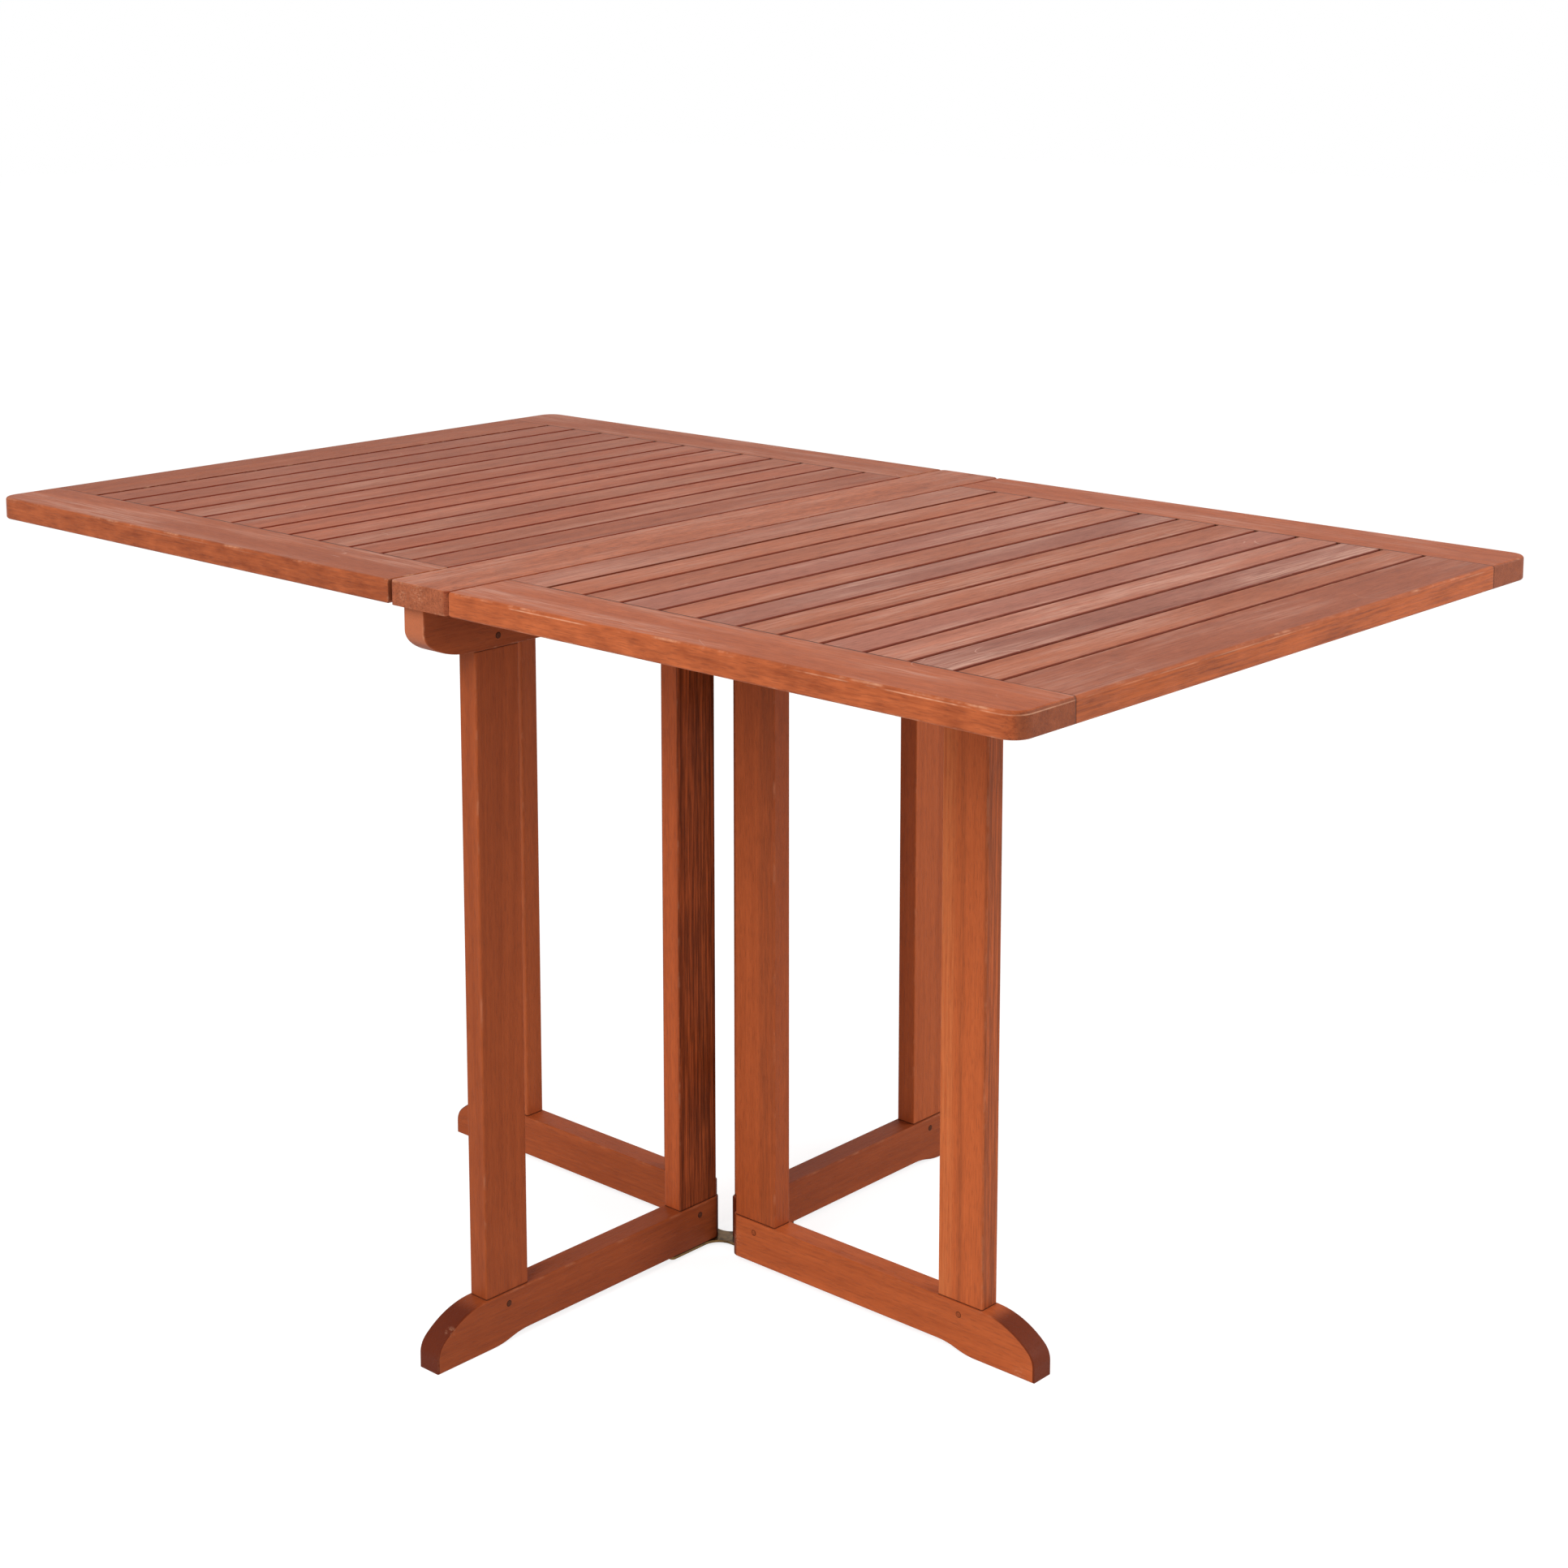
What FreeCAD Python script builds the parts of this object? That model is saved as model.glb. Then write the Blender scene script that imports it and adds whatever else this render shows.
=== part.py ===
import FreeCAD
import Part

import math
import os

# Folding garden table: a narrow centre board, two framed slatted leaves hinged to it, and four
# like stands of foot, top rail and two posts. Two stands are fixed under the board, end to end
# across the table, and two are gates that swing out under the leaves. Drawn as in use: leaves
# up, gates open. Millimetres, +X along the table, +Z up, origin on the floor under the centre.

# Overall sizes
TOP_LENGTH = 1300.0
TOP_WIDTH = 770.0
TOP_HEIGHT = 735.0
TOP_THICKNESS = 22.0

# Centre board and leaves
BOARD_WIDTH = 76.0
BOARD_CORNER = 6.0
LEAF_GAP = 2.0
LEAF_CORNER = 18.0
LEAF_RAIL_WIDTH = 70.0
OUTER_STILE_WIDTH = 67.0
INNER_STILE_WIDTH = 46.5
SLAT_COUNT = 11
SLAT_GAP = 3.9
SLAT_THICKNESS = 15.0
OUTER_ROUND = 2.5
JOINT_ROUND = 1.2
HINGE_EDGE_CHAMFER = 2.5

# Joinery of the leaves
STILE_TENON_LENGTH = 32.0
STILE_TENON_THICKNESS = 8.0
STILE_TENON_SHOULDER = 8.0
SLAT_TONGUE_LENGTH = 12.0
SLAT_TONGUE_THICKNESS = 7.0
SLAT_TONGUE_SHOULDER = 5.0
TENON_CLEARANCE = 0.1

# Stands: foot, top rail and posts
STAND_SETBACK = 9.0
RAIL_THICKNESS = 26.0
FOOT_HEIGHT = 49.0
FOOT_RAISE = 6.0
PAD_LENGTH = 68.0
PAD_RAMP_LENGTH = 44.0
TOE_HEIGHT = 22.0
TOE_ROUND = 20.0
TOP_RAIL_HEIGHT = 50.0
TOP_RAIL_NOSE_LENGTH = 58.0
TOP_RAIL_NOSE_DROP = 27.0
RAIL_END_ROUND = 9.0
POST_WIDTH = 52.0
INNER_POST_SETBACK = 5.5
TOE_LENGTH = 61.0
STAND_ROUND = 1.5
POST_TENON_LENGTH = 28.0
POST_TENON_WIDTH = 36.0
POST_TENON_THICKNESS = 10.0
PEG_RADIUS = 3.0
PEG_PROUD = 0.3
PEG_FROM_SHOULDER = 11.0
PEG_CLEARANCE = 0.05

# Places of the stands about the middle
CENTRE_GAP = 8.0
PIVOT_CLEARANCE = 1.0
GATE_TOP_CLEARANCE = 0.3
GATE_FOOT_CLEARANCE = 0.5

# Butt hinges, all of one size
HINGE_LENGTH = 60.0
HINGE_FLAP_REACH = 28.0
HINGE_FLAP_THICKNESS = 1.5
BARREL_RADIUS = 3.0
PIN_RADIUS = 1.5
PIN_CLEARANCE = 0.05
KNUCKLE_COUNT = 5
KNUCKLE_GAP = 0.4
BARREL_CLEARANCE = 0.5
FLAP_CLEARANCE = 0.1
HINGE_SCREW_REACH = 17.0
HINGE_SCREW_SPREAD = 20.0
LEAF_HINGE_SETBACK = 135.0
GATE_HINGE_HEIGHT = 190.0
GATE_HINGE_DROP = 138.0

# Screws
HINGE_SCREW_HEAD_RADIUS = 3.4
HINGE_SCREW_HEAD_HEIGHT = 1.8
HINGE_SCREW_RADIUS = 1.7
HINGE_SCREW_LENGTH = 14.0
FRAME_SCREW_HEAD_RADIUS = 4.6
FRAME_SCREW_HEAD_HEIGHT = 3.0
FRAME_SCREW_RADIUS = 2.5
FRAME_SCREW_LENGTH = 42.0
FRAME_SCREW_INTO_BOARD = 14.0
FRAME_SCREW_FROM_MIDDLE = 100.0
FRAME_SCREW_FROM_END = 41.0
COUNTERBORE_RADIUS = 5.5
SCREW_CLEARANCE = 0.1

# Tie plate under the fixed feet
PLATE_THICKNESS = 2.5
PLATE_REACH = 72.0
PLATE_NECK = 14.0
PLATE_FILLET = 18.0
PLATE_CORNER = 4.0
PLATE_SCREW_PLACES = (28.0, 58.0)

# Cut overrun past a face, and how near two places are when they count as one
OVERRUN = 1.0
SAME_PLACE = 0.05

# Places that follow from the sizes above
UNDERSIDE = TOP_HEIGHT - TOP_THICKNESS
HALF_LENGTH = TOP_LENGTH / 2
HALF_WIDTH = TOP_WIDTH / 2
BOARD_SIDE = BOARD_WIDTH / 2
LEAF_INNER = BOARD_SIDE + LEAF_GAP
LEAF_AXIS_X = BOARD_SIDE + LEAF_GAP / 2
LEAF_AXIS_Z = UNDERSIDE + BARREL_RADIUS
RAIL_INNER_Y = HALF_WIDTH - LEAF_RAIL_WIDTH
FIELD_START = LEAF_INNER + INNER_STILE_WIDTH
FIELD_END = HALF_LENGTH - OUTER_STILE_WIDTH
SLAT_WIDTH = (FIELD_END - FIELD_START - (SLAT_COUNT + 1) * SLAT_GAP) / SLAT_COUNT
RAIL_HALF = RAIL_THICKNESS / 2
POST_HALF = RAIL_HALF + PIVOT_CLEARANCE - BARREL_RADIUS
STAND_LENGTH = HALF_WIDTH - STAND_SETBACK - PIVOT_CLEARANCE
OUTER_POST_REACH = STAND_LENGTH - TOE_LENGTH
FIXED_STAND_OFFSET = CENTRE_GAP / 2 + RAIL_HALF
GATE_AXIS_X = FIXED_STAND_OFFSET + RAIL_HALF + PIVOT_CLEARANCE
GATE_OFFSET = RAIL_HALF + PIVOT_CLEARANCE
LEAF_HINGE_PLACE = HALF_WIDTH - LEAF_HINGE_SETBACK
GATE_HINGE_HEIGHTS = (GATE_HINGE_HEIGHT, UNDERSIDE - GATE_HINGE_DROP)
FRAME_SCREW_PLACES = (FRAME_SCREW_FROM_MIDDLE, STAND_LENGTH - FRAME_SCREW_FROM_END)
INNER_POST_CENTRE = INNER_POST_SETBACK + POST_WIDTH / 2
OUTER_POST_CENTRE = OUTER_POST_REACH - POST_WIDTH / 2
PLATE_TOP = FOOT_RAISE
PLATE_BOTTOM = FOOT_RAISE - PLATE_THICKNESS

X = FreeCAD.Vector(1, 0, 0)
Y = FreeCAD.Vector(0, 1, 0)
Z = FreeCAD.Vector(0, 0, 1)


def vector(x, y, z):
    return FreeCAD.Vector(x, y, z)


def block(low, high):
    """Box between two opposite corners."""
    size = [b - a for a, b in zip(low, high)]
    return Part.makeBox(size[0], size[1], size[2], vector(*low))


def placed(shape, origin, across, along):
    """Copy of a shape with its local X turned to across and its local Y to along."""
    up = across.cross(along)
    matrix = FreeCAD.Matrix(
        across.x, along.x, up.x, origin.x,
        across.y, along.y, up.y, origin.y,
        across.z, along.z, up.z, origin.z,
        0, 0, 0, 1,
    )
    copy = shape.copy()
    copy.transformShape(matrix, True)
    return copy


def turned_half(shape):
    """Copy of a shape turned half a turn about the vertical through the centre."""
    return placed(shape, vector(0, 0, 0), -X, -Y)


def edges_where(shape, test):
    """Edges whose middle point passes a test."""
    found = []
    for edge in shape.Edges:
        middle = edge.valueAt((edge.FirstParameter + edge.LastParameter) / 2)
        if test(middle):
            found.append(edge)
    return found


def near(a, b):
    return abs(a - b) < SAME_PLACE


def screw(head_radius, head_height, radius, length, clearance=0.0):
    """Countersunk screw along local -Z with its flat head at the origin, or the hole it needs."""
    head = Part.makeCone(radius + clearance, head_radius + clearance, head_height, vector(0, 0, -head_height))
    shank = Part.makeCylinder(radius + clearance, length + clearance, vector(0, 0, -length - clearance))
    return head.fuse(shank).removeSplitter()


def hinge_screw(clearance=0.0):
    return screw(
        HINGE_SCREW_HEAD_RADIUS, HINGE_SCREW_HEAD_HEIGHT, HINGE_SCREW_RADIUS, HINGE_SCREW_LENGTH, clearance
    )


# Hinges, drawn about local Z with the flap along local +X and its plate at the -Y side


def knuckle_spans(moving):
    """Low and high ends, along the axis, of the knuckles on one flap."""
    pitch = HINGE_LENGTH / KNUCKLE_COUNT
    spans = []
    for index in range(KNUCKLE_COUNT):
        if (index % 2 == 1) == moving:
            low = index * pitch - HINGE_LENGTH / 2
            trim_low = KNUCKLE_GAP / 2 if index else 0
            trim_high = KNUCKLE_GAP / 2 if index < KNUCKLE_COUNT - 1 else 0
            spans.append((low + trim_low, low + pitch - trim_high))
    return spans


def hinge_screw_heights():
    return (-HINGE_SCREW_SPREAD, 0, HINGE_SCREW_SPREAD)


def hinge_flap(moving):
    plate_low = -BARREL_RADIUS
    plate_high = plate_low + HINGE_FLAP_THICKNESS
    flap = block(
        (BARREL_RADIUS + BARREL_CLEARANCE, plate_low, -HINGE_LENGTH / 2),
        (HINGE_FLAP_REACH, plate_high, HINGE_LENGTH / 2),
    )
    for low, high in knuckle_spans(moving):
        tongue = block((0, plate_low, low), (BARREL_RADIUS + BARREL_CLEARANCE, plate_high, high))
        barrel = Part.makeCylinder(BARREL_RADIUS, high - low, vector(0, 0, low))
        flap = flap.fuse(tongue).fuse(barrel)
    bore = Part.makeCylinder(
        PIN_RADIUS + PIN_CLEARANCE,
        HINGE_LENGTH + 2 * OVERRUN,
        vector(0, 0, -HINGE_LENGTH / 2 - OVERRUN),
    )
    return flap.cut(bore)


def flap_screws(head_side, clearance=0.0):
    """Three screws of a flap. Their heads lie on the plate's outer face (+1) or inner face (-1)."""
    plate_low = -BARREL_RADIUS
    face = plate_low + HINGE_FLAP_THICKNESS if head_side > 0 else plate_low
    screws = []
    for height in hinge_screw_heights():
        origin = vector(HINGE_SCREW_REACH, face, height)
        local_up = Y * head_side
        screws.append(placed(hinge_screw(clearance), origin, X, local_up.cross(X)))
    return screws


def hinge_pin():
    return Part.makeCylinder(PIN_RADIUS, HINGE_LENGTH, vector(0, 0, -HINGE_LENGTH / 2))


def barrel_relief(side_reach):
    """Room for a barrel let into a wooden edge."""
    radius = BARREL_RADIUS + BARREL_CLEARANCE
    length = HINGE_LENGTH + 2 * BARREL_CLEARANCE
    room = Part.makeCylinder(radius, length, vector(0, 0, -length / 2))
    mouth = block((-radius, -side_reach, -length / 2), (radius, 0, length / 2))
    return room.fuse(mouth)


def flap_recess():
    """Shallow pocket that takes one flap flush with the wood."""
    half_length = HINGE_LENGTH / 2 + FLAP_CLEARANCE
    return block(
        (0, -BARREL_RADIUS - OVERRUN, -half_length),
        (HINGE_FLAP_REACH + FLAP_CLEARANCE, -BARREL_RADIUS + HINGE_FLAP_THICKNESS, half_length),
    )


class HingeSeat:
    """Where one hinge flap sits: its axis point, the way the flap runs and the way away from its plate."""

    def __init__(self, origin, along_flap, off_plate, let_in):
        self.origin = origin
        self.along_flap = along_flap
        self.off_plate = off_plate
        self.let_in = let_in

    def put(self, shape):
        return placed(shape, self.origin, self.along_flap, self.off_plate)

    def flap(self, moving):
        shape = hinge_flap(moving)
        for hole in flap_screws(self.head_side(), SCREW_CLEARANCE):
            shape = shape.cut(hole)
        return self.put(shape)

    def head_side(self):
        """A let-in flap is screwed from its outer, lower face; a surface flap from the barrel's side."""
        return -1 if self.let_in else 1

    def screws(self):
        return [self.put(one) for one in flap_screws(self.head_side())]

    def cut_from(self, wood):
        """Wood with the screw holes, and for a let-in flap the recess and barrel room."""
        if self.let_in:
            wood = wood.cut(self.put(flap_recess()))
            wood = wood.cut(self.put(barrel_relief(BARREL_RADIUS + OVERRUN)))
        for hole in flap_screws(self.head_side(), SCREW_CLEARANCE):
            wood = wood.cut(self.put(hole))
        return wood


def right_leaf_seats():
    """Seats of the right leaf's flaps and of the board's flaps beside it."""
    leaf = []
    board = []
    for side in (-1, 1):
        origin = vector(LEAF_AXIS_X, side * LEAF_HINGE_PLACE, LEAF_AXIS_Z)
        leaf.append(HingeSeat(origin, X, Z, True))
        board.append(HingeSeat(origin, -X, Z, True))
    return leaf, board


def right_gate_seats():
    """Seats of the right gate's flaps and of the rear stand's flaps that carry it."""
    gate = []
    fixed = []
    for height in GATE_HINGE_HEIGHTS:
        origin = vector(GATE_AXIS_X, 0, height)
        gate.append(HingeSeat(origin, X, Y, False))
        fixed.append(HingeSeat(origin, Y, X, False))
    return gate, fixed


# Centre board


def hinge_chamfer(edge_x, inward):
    """Wedge that takes the lower arris off a hinged edge. Inward is the way from the edge into the wood."""
    past = OVERRUN * inward
    corner = vector(edge_x - past, -HALF_WIDTH - OVERRUN, UNDERSIDE - OVERRUN)
    along = vector(edge_x + (HINGE_EDGE_CHAMFER + OVERRUN) * inward, corner.y, corner.z)
    up = vector(corner.x, corner.y, UNDERSIDE + HINGE_EDGE_CHAMFER + OVERRUN)
    face = Part.Face(Part.makePolygon([corner, along, up, corner]))
    return face.extrude(Y * (TOP_WIDTH + 2 * OVERRUN))


def centre_board(right_seats):
    board = block((-BOARD_SIDE, -HALF_WIDTH, UNDERSIDE), (BOARD_SIDE, HALF_WIDTH, TOP_HEIGHT))

    def is_corner(middle):
        return near(abs(middle.x), BOARD_SIDE) and near(abs(middle.y), HALF_WIDTH)

    board = board.makeFillet(BOARD_CORNER, edges_where(board, is_corner))
    board = board.makeFillet(JOINT_ROUND, edges_where(board, lambda middle: near(middle.z, TOP_HEIGHT)))
    board = board.cut(hinge_chamfer(BOARD_SIDE, -1)).cut(hinge_chamfer(-BOARD_SIDE, 1))
    for seat in right_seats:
        board = seat.cut_from(board)
        board = turned_half(seat.cut_from(turned_half(board)))
    for origin in frame_screw_places():
        hole = frame_screw(SCREW_CLEARANCE)
        hole.translate(origin)
        board = board.cut(hole).cut(turned_half(hole))
    return board


# Leaves, drawn for the right side


def leaf_outline():
    """Plan of one whole leaf with its two rounded outer corners."""
    bend = LEAF_CORNER * (1 - math.cos(math.pi / 4))
    x0, x1, y1 = LEAF_INNER, HALF_LENGTH, HALF_WIDTH
    front_start = vector(x0, -y1, UNDERSIDE)
    front_end = vector(x1 - LEAF_CORNER, -y1, UNDERSIDE)
    side_start = vector(x1, -y1 + LEAF_CORNER, UNDERSIDE)
    side_end = vector(x1, y1 - LEAF_CORNER, UNDERSIDE)
    back_start = vector(x1 - LEAF_CORNER, y1, UNDERSIDE)
    back_end = vector(x0, y1, UNDERSIDE)
    edges = [
        Part.makeLine(front_start, front_end),
        Part.Arc(front_end, vector(x1 - bend, -y1 + bend, UNDERSIDE), side_start).toShape(),
        Part.makeLine(side_start, side_end),
        Part.Arc(side_end, vector(x1 - bend, y1 - bend, UNDERSIDE), back_start).toShape(),
        Part.makeLine(back_start, back_end),
        Part.makeLine(back_end, front_start),
    ]
    return Part.Face(Part.Wire(edges))


def leaf_blank():
    """The leaf's outer form, rounded round its rim and chamfered below beside the board."""
    blank = leaf_outline().extrude(Z * TOP_THICKNESS)

    def on_rim(middle):
        flat = near(middle.z, TOP_HEIGHT) or near(middle.z, UNDERSIDE)
        return flat and not near(middle.x, LEAF_INNER)

    def on_hinge_top(middle):
        return near(middle.z, TOP_HEIGHT) and near(middle.x, LEAF_INNER)

    blank = blank.makeFillet(OUTER_ROUND, edges_where(blank, on_rim))
    blank = blank.makeFillet(JOINT_ROUND, edges_where(blank, on_hinge_top))
    return blank.cut(hinge_chamfer(LEAF_INNER, 1))


def leaf_middle():
    return (TOP_HEIGHT + UNDERSIDE) / 2


def stile_tenon(low_x, high_x, side, clearance=0.0):
    """Tenon of a stile into the rail at one side (-1 front, 1 back), or its mortise."""
    half = STILE_TENON_THICKNESS / 2 + clearance
    reach = RAIL_INNER_Y + STILE_TENON_LENGTH + clearance
    ends = sorted((side * RAIL_INNER_Y, side * reach))
    return block(
        (low_x + STILE_TENON_SHOULDER - clearance, ends[0], leaf_middle() - half),
        (high_x - STILE_TENON_SHOULDER + clearance, ends[1], leaf_middle() + half),
    )


def slat_tongue(low_x, side, clearance=0.0):
    """Tongue of a slat into the rail at one side, or the pocket that takes it."""
    middle = TOP_HEIGHT - SLAT_THICKNESS / 2
    half = SLAT_TONGUE_THICKNESS / 2 + clearance
    reach = RAIL_INNER_Y + SLAT_TONGUE_LENGTH + clearance
    ends = sorted((side * RAIL_INNER_Y, side * reach))
    return block(
        (low_x + SLAT_TONGUE_SHOULDER - clearance, ends[0], middle - half),
        (low_x + SLAT_WIDTH - SLAT_TONGUE_SHOULDER + clearance, ends[1], middle + half),
    )


def slat_starts():
    return [FIELD_START + SLAT_GAP + index * (SLAT_WIDTH + SLAT_GAP) for index in range(SLAT_COUNT)]


def stile_spans():
    return ((LEAF_INNER, FIELD_START), (FIELD_END, HALF_LENGTH))


def leaf_rail(blank, side):
    """Front (-1) or back (1) rail of the right leaf with its mortises."""
    ends = sorted((side * RAIL_INNER_Y, side * (HALF_WIDTH + OVERRUN)))
    part = blank.common(
        block(
            (LEAF_INNER - OVERRUN, ends[0], UNDERSIDE - OVERRUN),
            (HALF_LENGTH + OVERRUN, ends[1], TOP_HEIGHT + OVERRUN),
        )
    )
    for low, high in stile_spans():
        part = part.cut(stile_tenon(low, high, side, TENON_CLEARANCE))
    for low in slat_starts():
        part = part.cut(slat_tongue(low, side, TENON_CLEARANCE))
    return part


def leaf_stile(blank, low, high, seats):
    """Stile of the right leaf between the rails, with a tenon at each end."""
    part = blank.common(
        block((low, -RAIL_INNER_Y, UNDERSIDE - OVERRUN), (high, RAIL_INNER_Y, TOP_HEIGHT + OVERRUN))
    )
    for side in (-1, 1):
        part = part.fuse(stile_tenon(low, high, side))
    part = part.removeSplitter()
    for seat in seats:
        part = seat.cut_from(part)
    return part


def slat(low):
    bottom = TOP_HEIGHT - SLAT_THICKNESS
    part = block((low, -RAIL_INNER_Y, bottom), (low + SLAT_WIDTH, RAIL_INNER_Y, TOP_HEIGHT))

    def on_long_top(middle):
        return near(middle.z, TOP_HEIGHT) and near(middle.y, 0)

    part = part.makeFillet(JOINT_ROUND, edges_where(part, on_long_top))
    for side in (-1, 1):
        part = part.fuse(slat_tongue(low, side))
    return part.removeSplitter()


def right_leaf(seats):
    blank = leaf_blank()
    inner, outer = stile_spans()
    pieces = {
        "front_rail": leaf_rail(blank, -1),
        "back_rail": leaf_rail(blank, 1),
        "inner_stile": leaf_stile(blank, inner[0], inner[1], seats),
        "outer_stile": leaf_stile(blank, outer[0], outer[1], []),
    }
    for index, low in enumerate(slat_starts(), start=1):
        pieces[f"slat_{index:02d}"] = slat(low)
    return pieces


# Stands, drawn from the inner end along local +X, thickness across local Y


def rounded_inner_end(shape):
    """Stand rail with its inner end rounded in plan."""

    def is_inner_corner(middle):
        return near(middle.x, 0) and near(abs(middle.y), RAIL_HALF)

    return shape.makeFillet(RAIL_END_ROUND, edges_where(shape, is_inner_corner))


def foot_face(raise_height):
    """Side outline of a foot: raised under its span, with a floor pad and a falling toe."""
    toe_drop = FOOT_HEIGHT - TOE_HEIGHT
    toe_run = STAND_LENGTH - OUTER_POST_REACH
    toe_radius = (toe_run**2 + toe_drop**2) / (2 * toe_drop)
    toe_half_angle = math.asin(toe_run / toe_radius) / 2
    ramp_radius = ((PAD_RAMP_LENGTH / 2) ** 2 + (raise_height / 2) ** 2) / raise_height
    ramp_half_angle = math.asin(PAD_RAMP_LENGTH / 2 / ramp_radius) / 2
    pad_inner = STAND_LENGTH - PAD_LENGTH
    ramp_middle = pad_inner - PAD_RAMP_LENGTH / 2
    ramp_end = pad_inner - PAD_RAMP_LENGTH
    sag = ramp_radius * (1 - math.cos(ramp_half_angle))
    swing = ramp_radius * math.sin(ramp_half_angle)

    def point(along, height):
        return vector(along, -RAIL_HALF, height)

    inner_low = point(0, raise_height)
    inner_high = point(0, FOOT_HEIGHT)
    toe_start = point(OUTER_POST_REACH, FOOT_HEIGHT)
    toe_bend = point(
        OUTER_POST_REACH + toe_radius * math.sin(toe_half_angle),
        FOOT_HEIGHT - toe_radius * (1 - math.cos(toe_half_angle)),
    )
    toe_end = point(STAND_LENGTH, TOE_HEIGHT)
    pad_outer = point(STAND_LENGTH, 0)
    pad_start = point(pad_inner, 0)
    ramp_centre = point(ramp_middle, raise_height / 2)
    ramp_top = point(ramp_end, raise_height)
    edges = [
        Part.makeLine(inner_low, inner_high),
        Part.makeLine(inner_high, toe_start),
        Part.Arc(toe_start, toe_bend, toe_end).toShape(),
        Part.makeLine(toe_end, pad_outer),
        Part.makeLine(pad_outer, pad_start),
        Part.Arc(pad_start, point(pad_inner - swing, sag), ramp_centre).toShape(),
        Part.Arc(ramp_centre, point(ramp_end + swing, raise_height - sag), ramp_top).toShape(),
        Part.makeLine(ramp_top, inner_low),
    ]
    return Part.Face(Part.Wire(edges))


def foot_arrises(shape):
    """Edges of a foot's two broad faces, past the rounded inner end."""

    def on_broad_face(middle):
        return near(abs(middle.y), RAIL_HALF) and middle.x > RAIL_END_ROUND

    return edges_where(shape, on_broad_face)


def post_tenon(centre, low, high, clearance=0.0):
    half_width = POST_TENON_WIDTH / 2 + clearance
    half_thickness = POST_TENON_THICKNESS / 2 + clearance
    return block((centre - half_width, -half_thickness, low), (centre + half_width, half_thickness, high))


def post_centres():
    return (INNER_POST_CENTRE, OUTER_POST_CENTRE)


def peg(centre, height, radius, reach):
    return Part.makeCylinder(radius, 2 * reach, vector(centre, -reach, height), Y)


def peg_heights():
    """Height of the pegs in the foot and in the top rail."""
    return (FOOT_HEIGHT - PEG_FROM_SHOULDER, UNDERSIDE - TOP_RAIL_HEIGHT + PEG_FROM_SHOULDER)


def drilled(shape, height):
    """Shape with the peg holes at one height."""
    for centre in post_centres():
        shape = shape.cut(peg(centre, height, PEG_RADIUS + PEG_CLEARANCE, RAIL_HALF + OVERRUN))
    return shape


def foot(raise_height):
    shape = foot_face(raise_height).extrude(Y * RAIL_THICKNESS)

    def is_toe(middle):
        return near(middle.x, STAND_LENGTH) and near(middle.z, TOE_HEIGHT)

    shape = shape.makeFillet(TOE_ROUND, edges_where(shape, is_toe))
    shape = rounded_inner_end(shape)
    shape = shape.makeFillet(STAND_ROUND, foot_arrises(shape))
    for centre in post_centres():
        low = FOOT_HEIGHT - POST_TENON_LENGTH - TENON_CLEARANCE
        shape = shape.cut(post_tenon(centre, low, FOOT_HEIGHT + OVERRUN, TENON_CLEARANCE))
    return drilled(shape, peg_heights()[0])


def top_rail(top):
    """Top rail up to a height, with the elliptic nose at its outer end."""
    low = UNDERSIDE - TOP_RAIL_HEIGHT
    nose_start = STAND_LENGTH - TOP_RAIL_NOSE_LENGTH
    nose_top = low + TOP_RAIL_NOSE_DROP
    shape = block((0, -RAIL_HALF, low), (STAND_LENGTH, RAIL_HALF, top))
    ellipse = Part.Ellipse(vector(0, 0, 0), TOP_RAIL_NOSE_LENGTH, TOP_RAIL_NOSE_DROP)
    disc = Part.Face(Part.Wire(ellipse.toShape())).extrude(Z * RAIL_THICKNESS)
    disc = placed(disc, vector(nose_start, RAIL_HALF, nose_top), X, Z)
    corner = block(
        (nose_start, -RAIL_HALF - OVERRUN, low - OVERRUN),
        (STAND_LENGTH + OVERRUN, RAIL_HALF + OVERRUN, nose_top),
    )
    shape = shape.cut(corner.cut(disc))
    shape = rounded_inner_end(shape)
    shape = shape.makeFillet(STAND_ROUND, top_rail_arrises(shape, top))
    for centre in post_centres():
        high = low + POST_TENON_LENGTH + TENON_CLEARANCE
        shape = shape.cut(post_tenon(centre, low - OVERRUN, high, TENON_CLEARANCE))
    return drilled(shape, peg_heights()[1])


def top_rail_arrises(shape, top):
    """Edges of the two broad faces under the top, past the rounded inner end."""

    def is_arris(middle):
        on_face = near(abs(middle.y), RAIL_HALF)
        return on_face and middle.x > RAIL_END_ROUND and not near(middle.z, top)

    return edges_where(shape, is_arris)


def post(centre):
    low = FOOT_HEIGHT
    high = UNDERSIDE - TOP_RAIL_HEIGHT
    half = POST_WIDTH / 2
    shape = block((centre - half, -POST_HALF, low), (centre + half, POST_HALF, high))

    def is_upright(middle):
        return near(middle.z, (low + high) / 2)

    shape = shape.makeFillet(STAND_ROUND, edges_where(shape, is_upright))
    shape = shape.fuse(post_tenon(centre, low - POST_TENON_LENGTH, low))
    shape = shape.fuse(post_tenon(centre, high, high + POST_TENON_LENGTH))
    shape = shape.removeSplitter()
    for height in peg_heights():
        shape = shape.cut(peg(centre, height, PEG_RADIUS + PEG_CLEARANCE, RAIL_HALF))
    return shape


def stand_pegs():
    reach = RAIL_HALF + PEG_PROUD
    return [peg(centre, height, PEG_RADIUS, reach) for centre in post_centres() for height in peg_heights()]


# Screws and plate that tie the fixed stands


def frame_screw(clearance=0.0):
    """Long screw up through a fixed top rail into the board, head down, tip at the origin's top."""
    part = screw(
        FRAME_SCREW_HEAD_RADIUS, FRAME_SCREW_HEAD_HEIGHT, FRAME_SCREW_RADIUS, FRAME_SCREW_LENGTH, clearance
    )
    return placed(part, vector(0, 0, 0), X, -Y)


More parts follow.
